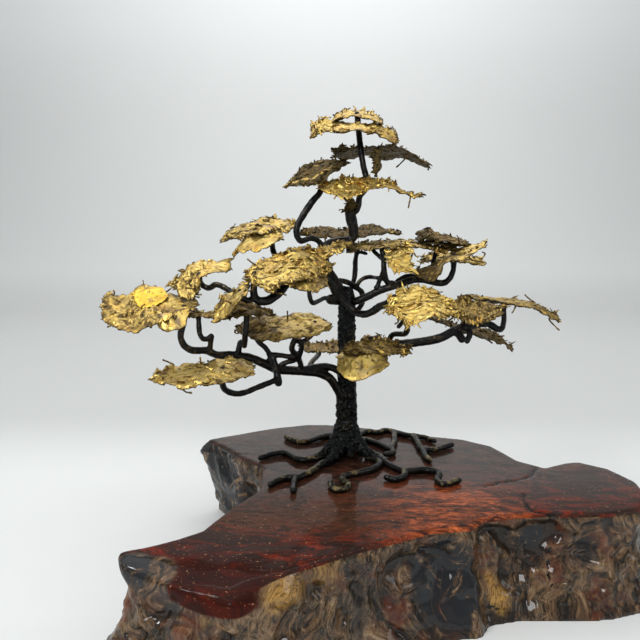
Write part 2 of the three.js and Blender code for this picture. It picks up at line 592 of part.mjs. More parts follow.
      near: [[73, 8, 119], [85, -4, 115], [97, -12, 111], [113, -8, 106], [129, -4, 101], [144, 3, 91]] },
  ] },
  foliage_right_dark: { sheets: [
    { seed: 28,
      far: [[63, 28, 193], [74, 34, 196], [86, 36, 193], [98, 32, 189], [108, 22, 185]],
      near: [[60, 6, 195], [68, 0, 197], [78, -4, 194], [91, -4, 189], [106, 4, 184]] },
    { seed: 29,
      far: [[63, 20, 185], [74, 26, 187], [88, 26, 186], [104, 22, 186]],
      near: [[60, 4, 183], [70, -2, 184], [83, -2, 182], [103, 3, 185]] },
  ] },
  foliage_right_slant: { sheets: [
    { seed: 30,
      far: [[56, -4, 163], [71, -3, 167], [83, 2, 172], [94, 6, 180], [104, 4, 183], [114, -4, 185]],
      near: [[56, -24, 158], [69, -30, 156], [77, -34, 169], [92, -32, 171], [101, -26, 178],
        [113, -15, 182]] },
  ] },
  foliage_right_back: { sheets: [
    { seed: 31,
      far: [[69, 30, 173], [78, 34, 176], [93, 34, 175], [110, 30, 173], [122, 20, 170]],
      near: [[66, 20, 169], [78, 18, 170], [91, 10, 170], [105, 4, 167], [118, 8, 166]] },
  ] },
  foliage_centre_right: {
    sheets: [
      { seed: 32,
        far: [[0, 14, 183], [17, 22, 186], [34, 26, 187], [49, 26, 187], [65, 22, 185], [79, 14, 182],
          [93, 8, 180]],
        near: [[-1, 6, 181], [15, -12, 179], [29, -16, 181], [44, -18, 182], [59, -14, 181], [76, -6, 178],
          [91, 0, 178]] },
      { seed: 33,
        far: [[33, -18, 178], [42, -11, 184], [52, -14, 183]],
        near: [[31, -40, 166], [39, -46, 163], [51, -42, 162]] },
    ],
    rods: [{ sides: thinSides, sizes: [thinRod], route: [[22, 15, 185], [22, 16, 188], [22, 17, 191]] }],
  },
  foliage_centre_back: { sheets: [
    { seed: 34,
      far: [[-41, 26, 196], [-27, 30, 199], [-11, 32, 199], [6, 34, 198], [24, 36, 201], [38, 32, 197],
        [48, 26, 194]],
      near: [[-39, 12, 192], [-25, 7, 190], [-11, 5, 189], [4, 3, 190], [21, 6, 191], [36, 12, 193],
        [47, 18, 192]] },
  ] },
};
const darkFoliage = [
  'foliage_top_back', 'foliage_top_left', 'foliage_right_under', 'foliage_right_dark',
  'foliage_centre_back', 'foliage_trunk_back',
];

// A limb's rods end just below the leaves that they carry
const trimReach = 14; // how far above a leaf a rod's end is cut away
function limbSolid({ rods }, extra = 0) {
  const below = sheetThickness / 2 + weldGap - extra;
  return joined(rods.map(({ under = [], route, ...rod }) => under
    .map(([name, leaf]) => sheetSolid(foliage[name].sheets[leaf], below, trimReach))
    .reduce((rest, trim) => rest.subtract(trim), rodSolid({ ...rod, route: route.map(at) }, extra))));
}

function foliageSolid({ sheets, rods = [] }, extra = 0) {
  const half = sheetThickness / 2 + extra;
  return joined([
    ...sheets.map((sheet) => sheetSolid(sheet, half, half)),
    ...rods.map(({ route, ...rod }) => rodSolid({ ...rod, route: route.map(at) }, extra)),
  ]);
}

function rootSolid(routes, extra = 0) {
  return joined(routes.map((route) => rodSolid({ route: route.map(onSlab), sizes: rootSizes }, extra)));
}

// Finishes
const finish = {
  lacqueredWood: new THREE.MeshStandardMaterial({ color: 0x3b1a10, roughness: 0.18, metalness: 0 }),
  blackPatina: new THREE.MeshStandardMaterial({ color: 0x16130f, roughness: 0.45, metalness: 0.8 }),
  torchBrass: new THREE.MeshStandardMaterial({ color: 0xc79a3c, roughness: 0.35, metalness: 1 }),
  sootyBrass: new THREE.MeshStandardMaterial({ color: 0x3d3322, roughness: 0.5, metalness: 0.9 }),
};

// Every piece with its own shape and the same shape grown by the gap, which later pieces stay out of
const pieces = [
  { name: 'trunk', material: finish.blackPatina, shape: trunkSolid },
  ...Object.entries(roots).map(([name, routes]) => (
    { name, material: finish.blackPatina, shape: (extra) => rootSolid(routes, extra) })),
  ...Object.entries(limbs).map(([name, limb]) => (
    { name, material: finish.blackPatina, shape: (extra) => limbSolid(limb, extra) })),
  ...Object.entries(foliage).map(([name, leaf]) => ({
    name,
    material: darkFoliage.includes(name) ? finish.sootyBrass : finish.torchBrass,
    shape: (extra) => foliageSolid(leaf, extra),
  })),
];

const boxOf = (solid) => {
  const { min, max } = solid.boundingBox();
  return new THREE.Box3(new THREE.Vector3(...min), new THREE.Vector3(...max));
};

const sculpture = new THREE.Group();
sculpture.name = 'bonsai_sculpture';

function addMesh(name, solid, material) {
  const mesh = new THREE.Mesh(toGeometry(solid), material.clone());
  mesh.name = name;
  sculpture.add(mesh);
}

addMesh('wood_base', slabSolid(), finish.lacqueredWood);

const standing = [];
for (const { name, material, shape } of pieces) {
  const whole = shape(0);
  const box = boxOf(whole);
  const neighbours = standing.filter((other) => other.box.intersectsBox(box));
  addMesh(name, neighbours.reduce((rest, other) => rest.subtract(other.grown), whole), material);
  const grown = shape(weldGap);
  standing.push({ grown, box: boxOf(grown) });
}

export default sculpture;
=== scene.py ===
# A windswept bonsai of bent black rods and torch-torn brass on a lacquered burl slab.
# The solids of the frame give every piece its place and form; the fine surface is made here.
import json
import math

import bmesh
import bpy
import numpy as np
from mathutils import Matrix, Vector
from mathutils.bvhtree import BVHTree
from mathutils.kdtree import KDTree


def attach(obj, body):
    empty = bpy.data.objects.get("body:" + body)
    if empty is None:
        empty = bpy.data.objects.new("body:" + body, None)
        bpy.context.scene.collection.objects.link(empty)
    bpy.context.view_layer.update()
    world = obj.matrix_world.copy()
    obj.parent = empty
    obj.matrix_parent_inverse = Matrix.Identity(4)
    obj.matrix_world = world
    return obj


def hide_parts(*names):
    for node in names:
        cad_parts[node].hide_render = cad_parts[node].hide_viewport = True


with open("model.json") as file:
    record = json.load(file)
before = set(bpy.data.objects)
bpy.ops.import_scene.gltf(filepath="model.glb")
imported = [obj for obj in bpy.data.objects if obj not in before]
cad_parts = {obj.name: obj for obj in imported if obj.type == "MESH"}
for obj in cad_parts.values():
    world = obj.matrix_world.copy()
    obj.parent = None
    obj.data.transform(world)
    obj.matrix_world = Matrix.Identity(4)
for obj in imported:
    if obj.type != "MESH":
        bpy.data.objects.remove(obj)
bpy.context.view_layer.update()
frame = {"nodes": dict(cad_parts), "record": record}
nodes = frame["nodes"]
scene = bpy.context.scene
mm = 0.001
slabTop = 70.0  # mm above the floor
print("frame loaded:", len(nodes), "nodes")

# Noise fields over points in mm

noiseTable = np.random.RandomState(7).permutation(256)
noiseSlopes = np.random.RandomState(11).normal(size=(256, 3))
noiseSlopes /= np.linalg.norm(noiseSlopes, axis=1)[:, None]


def smoothNoise(points, size, seed=0):
    # gradient noise, about -1 to 1, with lumps of the given size
    place = np.asarray(points, float) / size + 37.3 * seed
    cell = np.floor(place).astype(int)
    share = place - cell
    fade = share ** 3 * (share * (share * 6 - 15) + 10)
    total = np.zeros(len(place))
    for corner in range(8):
        step = np.array([corner & 1, corner >> 1 & 1, corner >> 2])
        i, j, k = ((cell + step) & 255).T
        slope = noiseSlopes[noiseTable[(noiseTable[(noiseTable[i] + j) & 255] + k) & 255]]
        weight = np.prod(np.where(step, fade, 1 - fade), axis=1)
        total += weight * np.einsum("ij,ij->i", slope, share - step)
    return total * 1.6


def ridgeNoise(points, size, seed=0):
    # sharp ridges near 1 between broad hollows near -1
    return 1 - 2.6 * np.abs(smoothNoise(points, size, seed))


def ease(values, low, high):
    share = np.clip((values - low) / (high - low), 0, 1)
    return share * share * (3 - 2 * share)


# Mesh helpers

def meshObject(name, points, faces, values=None):
    mesh = bpy.data.meshes.new(name)
    mesh.from_pydata((np.asarray(points) * mm).tolist(), [], faces)
    mesh.validate()
    made = bpy.data.objects.new(name, mesh)
    scene.collection.objects.link(made)
    paintValues(made, values or {})
    mesh.polygons.foreach_set("use_smooth", [True] * len(mesh.polygons))
    return made


def paintValues(piece, values):
    for name, column in values.items():
        layer = piece.data.attributes.get(name) or piece.data.attributes.new(name, "FLOAT", "POINT")
        layer.data.foreach_set("value", np.asarray(column, np.float32))


def meshPoints(mesh):
    flat = np.zeros(len(mesh.vertices) * 3)
    mesh.vertices.foreach_get("co", flat)
    return flat.reshape(-1, 3) / mm


def meshNormals(mesh):
    flat = np.zeros(len(mesh.vertices) * 3, np.float32)
    mesh.vertex_normals.foreach_get("vector", flat)
    return flat.reshape(-1, 3).astype(float)


def movePoints(mesh, points):
    mesh.vertices.foreach_set("co", (points * mm).ravel())
    mesh.update()


def bakeModifiers(piece):
    shaped = bpy.data.meshes.new_from_object(
        piece.evaluated_get(bpy.context.evaluated_depsgraph_get()))
    piece.modifiers.clear()
    piece.data = shaped
    return piece


def remeshed(name, parts, pitch, smoothing):
    # one skin of even facets around the given bmesh parts
    mesh = bpy.data.meshes.new(name)
    parts.to_mesh(mesh)
    parts.free()
    piece = bpy.data.objects.new(name, mesh)
    scene.collection.objects.link(piece)
    remesh = piece.modifiers.new("skin", "REMESH")
    remesh.mode = "VOXEL"
    remesh.voxel_size = pitch * mm
    relax = piece.modifiers.new("relax", "SMOOTH")
    relax.factor = 0.5
    relax.iterations = smoothing
    bakeModifiers(piece)
    piece.data.polygons.foreach_set("use_smooth", [True] * len(piece.data.polygons))
    return piece


def finishPiece(piece, node, slotName, *materials):
    for material in materials:
        piece.data.materials.append(material)
    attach(piece, "root")
    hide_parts(node)
    return piece


# Shader helpers

def addNode(tree, kind, inputs=None, **settings):
    made = tree.nodes.new(kind)
    for name, value in settings.items():
        setattr(made, name, value)
    for name, value in (inputs or {}).items():
        if isinstance(value, bpy.types.NodeSocket):
            tree.links.new(value, made.inputs[name])
        else:
            made.inputs[name].default_value = value
    return made


def maths(tree, operation, first, second=0.5):
    return addNode(tree, "ShaderNodeMath", {0: first, 1: second}, operation=operation).outputs[0]


def between(tree, value, low, high, start=0.0, end=1.0):
    return addNode(tree, "ShaderNodeMapRange",
                   {"Value": value, "From Min": low, "From Max": high, "To Min": start, "To Max": end},
                   interpolation_type="SMOOTHSTEP").outputs[0]


def grain(tree, vector, scale, detail=4.0, roughness=0.6, distortion=0.0):
    return addNode(tree, "ShaderNodeTexNoise",
                   {"Vector": vector, "Scale": scale, "Detail": detail, "Roughness": roughness,
                    "Distortion": distortion}).outputs["Fac"]


def product(tree, result, *factors):
    for factor in factors:
        result = maths(tree, "MULTIPLY", result, factor)
    return result


def added(tree, result, *others):
    for other in others:
        result = maths(tree, "ADD", result, other)
    return result


def centred(tree, value, weight):
    return product(tree, maths(tree, "SUBTRACT", value, 0.5), weight)


def blendColour(tree, share, first, second):
    return addNode(tree, "ShaderNodeMix", {0: share, 6: first, 7: second}, data_type="RGBA").outputs[2]


def layered(tree, colour, layers):
    # each layer is a share and the colour that it lays over the ones before it
    for share, over in layers:
        colour = blendColour(tree, share, colour, over)
    return colour


def stretched(tree, vector, scale, rotation=(0, 0, 0)):
    return addNode(tree, "ShaderNodeMapping",
                   {"Vector": vector, "Scale": scale, "Rotation": rotation}).outputs[0]


def painted(tree, name):
    return addNode(tree, "ShaderNodeAttribute", attribute_name=name).outputs["Fac"]


def newGroup(name, inputs, outputs):
    group = bpy.data.node_groups.new(name, "ShaderNodeTree")
    for label, kind in inputs:
        group.interface.new_socket(label, in_out="INPUT", socket_type=kind)
    for label, kind in outputs:
        group.interface.new_socket(label, in_out="OUTPUT", socket_type=kind)
    return group, group.nodes.new("NodeGroupInput").outputs, group.nodes.new("NodeGroupOutput").inputs


def newMaterial(name):
    material = bpy.data.materials.new(name)
    material.use_nodes = True
    tree = material.node_tree
    tree.nodes.clear()
    surface = addNode(tree, "ShaderNodeBsdfPrincipled")
    output = addNode(tree, "ShaderNodeOutputMaterial")
    tree.links.new(surface.outputs[0], output.inputs["Surface"])
    place = addNode(tree, "ShaderNodeTexCoord").outputs["Object"]
    return material, tree, surface, place


def feed(tree, surface, links):
    for name, value in links.items():
        if isinstance(value, bpy.types.NodeSocket):
            tree.links.new(value, surface.inputs[name])
        else:
            surface.inputs[name].default_value = value


def bump(tree, height, depth, strength=1.0):
    return addNode(tree, "ShaderNodeBump",
                   {"Height": height, "Distance": depth * mm, "Strength": strength}).outputs[0]


def rgb(red, green, blue):
    return (red, green, blue, 1.0)


# Patina shared by all the black iron: lumps, brown wear on what stands proud, dull hollows, and rubbed
# brass on the proud tops that is wear and partly a painted highlight

ironFinishes = {
    "black patinated rod": {
        "lumpScale": 420.0, "depth": 0.3,
        "black": rgb(0.01, 0.01, 0.01), "worn": rgb(0.055, 0.043, 0.03),
        "rubbedGlintAmount": 0.25, "coat": 0.2, "metallic": 0.85, "shine": 0.35},
    "brazed black trunk": {
        "lumpScale": 330.0, "depth": 1.2,
        "black": rgb(0.002, 0.0025, 0.003), "worn": rgb(0.012, 0.013, 0.013),
        "rubbedGlintAmount": 0.1, "coat": 0.17, "metallic": 0.0, "shine": 0.05},
    "black waxed root": {
        "lumpScale": 380.0, "depth": 0.7,
        "black": rgb(0.003, 0.003, 0.003), "worn": rgb(0.028, 0.024, 0.016),
        "rubbedGlintAmount": 0.5, "coat": 0.3, "metallic": 0.0, "shine": 0.06},
}
hammeredPlan = {"cloudScale": 70.0, "cloudShare": 0.35, "rubbedScale": 48.0, "rubbedGlint": rgb(0.34, 0.25, 0.1)}


def makeHammeredGroup():
    group, given, wanted = newGroup(
        "hammeredPatina",
        [("Place", "NodeSocketVector"), ("Lump Scale", "NodeSocketFloat"), ("Proud", "NodeSocketFloat"),
         ("Black", "NodeSocketColor"), ("Worn", "NodeSocketColor"), ("Rubbed Glint", "NodeSocketColor"),
         ("Rubbed Glint Amount", "NodeSocketFloat")],
        [("Colour", "NodeSocketColor"), ("Roughness", "NodeSocketFloat"), ("Height", "NodeSocketFloat")])
    place, proud = given["Place"], given["Proud"]
    lumps = grain(group, place, given["Lump Scale"], 5.0, 0.62)
    worn = product(group, between(group, lumps, 0.48, 0.72), between(group, proud, 0.2, 0.9))
    clouds = grain(group, place, hammeredPlan["cloudScale"], 3.0)
    cloudy = product(group, between(group, clouds, 0.45, 0.7), hammeredPlan["cloudShare"])
    # rubbed brass on proud lumps: wear, and a painted highlight where the tops face up
    rubbedGlintShare = product(
        group, between(group, grain(group, place, hammeredPlan["rubbedScale"], 2.0), 0.5, 0.6),
        between(group, proud, 0.35, 0.95), between(group, lumps, 0.38, 0.58), given["Rubbed Glint Amount"])
    colour = layered(group, given["Black"], [
        (maths(group, "MAXIMUM", worn, cloudy), given["Worn"]), (rubbedGlintShare, given["Rubbed Glint"])])
    group.links.new(colour, wanted["Colour"])
    group.links.new(between(group, lumps, 0.3, 0.75, 0.55, 0.3), wanted["Roughness"])
    group.links.new(lumps, wanted["Height"])
    return group


hammered = makeHammeredGroup()


def ironMaterial(name):
    plan = ironFinishes[name]
    material, tree, surface, place = newMaterial(name)
    patina = addNode(tree, "ShaderNodeGroup", node_tree=hammered)
    tree.links.new(place, patina.inputs["Place"])
    tree.links.new(painted(tree, "proud"), patina.inputs["Proud"])
    for socket, value in (("Lump Scale", plan["lumpScale"]), ("Black", plan["black"]),
                          ("Worn", plan["worn"]), ("Rubbed Glint", hammeredPlan["rubbedGlint"]),
                          ("Rubbed Glint Amount", plan["rubbedGlintAmount"])):
        patina.inputs[socket].default_value = value
    feed(tree, surface, {
        "Base Color": patina.outputs["Colour"], "Roughness": patina.outputs["Roughness"],
        "Metallic": plan["metallic"], "Specular IOR Level": plan["shine"],
        "Coat Weight": plan["coat"], "Coat Roughness": 0.12,
        "Normal": bump(tree, patina.outputs["Height"], plan["depth"])})
    return material


rodIron, trunkIron, rootIron = (ironMaterial(name) for name in ironFinishes)

# Torch-cut brass: gold on the side that faces up and to the front, brown and soot in the creases and
# underneath, where the dark is painted shade as well as soot, grey and violet where it was hot

torchColours = {
    "gold": rgb(0.66, 0.44, 0.1), "paleGold": rgb(0.83, 0.62, 0.2), "copper": rgb(0.5, 0.26, 0.055),
    "polished": rgb(0.88, 0.56, 0.07), "heated": rgb(0.17, 0.13, 0.11), "brown": rgb(0.2, 0.125, 0.042),
    "soot": rgb(0.012, 0.01, 0.006), "thinSoot": rgb(0.15, 0.108, 0.04), "pit": rgb(0.02, 0.014, 0.006),
}


def makeTorchGroup():
    colours = torchColours
    group, given, wanted = newGroup(
        "torchPatina",
        [("Place", "NodeSocketVector"), ("Tone", "NodeSocketFloat"), ("Crease", "NodeSocketFloat"),
         ("Rim", "NodeSocketFloat"), ("Under", "NodeSocketFloat"), ("Stain", "NodeSocketFloat")],
        [("Colour", "NodeSocketColor"), ("Roughness", "NodeSocketFloat"), ("Metallic", "NodeSocketFloat"),
         ("Height", "NodeSocketFloat")])
    place = given["Place"]
    broad = grain(group, place, 55.0, 3.0, 0.55, 0.4)
    patches = grain(group, place, 160.0, 4.0, 0.6, 0.3)
    specks = grain(group, place, 620.0, 3.0, 0.6)
    fine = grain(group, place, 1300.0, 3.0, 0.55)
    hot = grain(group, place, 75.0, 2.0, 0.5, 0.8)
    heat = product(group, between(group, hot, 0.5, 0.62), given["Stain"])
    gold = layered(group, colours["gold"], [
        (between(group, patches, 0.35, 0.65), colours["paleGold"]),
        (between(group, broad, 0.52, 0.72, 0.0, 0.75), colours["copper"]),
        (between(group, given["Stain"], -0.1, -1.0), colours["polished"]),  # a stain below 0 is a polish
        (heat, colours["heated"]),
    ])
    # soot gathers by tone and on the rim; the dark in the creases and underneath is painted shade along
    # with soot
    load = added(
        group, product(group, between(group, given["Crease"], 0.55, -0.75), 0.85),
        product(group, between(group, given["Rim"], 0.45, 1.0), 0.5),
        product(group, given["Tone"], 1.25), product(group, given["Under"], 0.55),
        centred(group, patches, 0.9), centred(group, specks, 0.9))
    soot = blendColour(group, between(group, specks, 0.38, 0.6), colours["soot"], colours["thinSoot"])
    pits = between(group, grain(group, place, 430.0, 0.0), 0.7, 0.76, 0.0, 0.75)
    # the brown and soot layers lay soot and painted shade over the gold
    group.links.new(layered(group, gold, [
        (between(group, load, 0.35, 0.85), colours["brown"]),
        (between(group, load, 0.78, 1.3), soot),
        (pits, colours["pit"]),
    ]), wanted["Colour"])
    group.links.new(added(group, between(group, load, 0.2, 1.2, 0.34, 0.6), centred(group, fine, 0.3)),
                    wanted["Roughness"])
    group.links.new(between(group, load, 0.7, 1.4, 0.86, 0.6), wanted["Metallic"])
    group.links.new(added(group, product(group, specks, 0.7), product(group, fine, 0.3)), wanted["Height"])
    return group


torchPatina = makeTorchGroup()


def brassMaterial(name, depth):
    material, tree, surface, place = newMaterial(name)
    patina = addNode(tree, "ShaderNodeGroup", node_tree=torchPatina)
    tree.links.new(place, patina.inputs["Place"])
    for layer in ("tone", "crease", "rim", "under", "stain"):
        tree.links.new(painted(tree, layer), patina.inputs[layer.capitalize()])
    feed(tree, surface, {
        "Base Color": patina.outputs["Colour"], "Roughness": patina.outputs["Roughness"],
        "Metallic": patina.outputs["Metallic"], "Specular IOR Level": 0.2,
        "Normal": bump(tree, patina.outputs["Height"], depth)})
    return material


tornBrass = brassMaterial("torch-cut brass", 0.35)
sootyBrass = brassMaterial("sooty torch-cut brass", 0.45)
print("metal finishes made")

# Foliage: every leaf is a torn sheet between a far and a near edge, both from left to right,
# in mm from the slab's top face at the trunk's axis. Tone runs from bright gold, 0, to soot, 1,
# from the leaf's left end to its right. Wires are the drips and whiskers that the torch left.

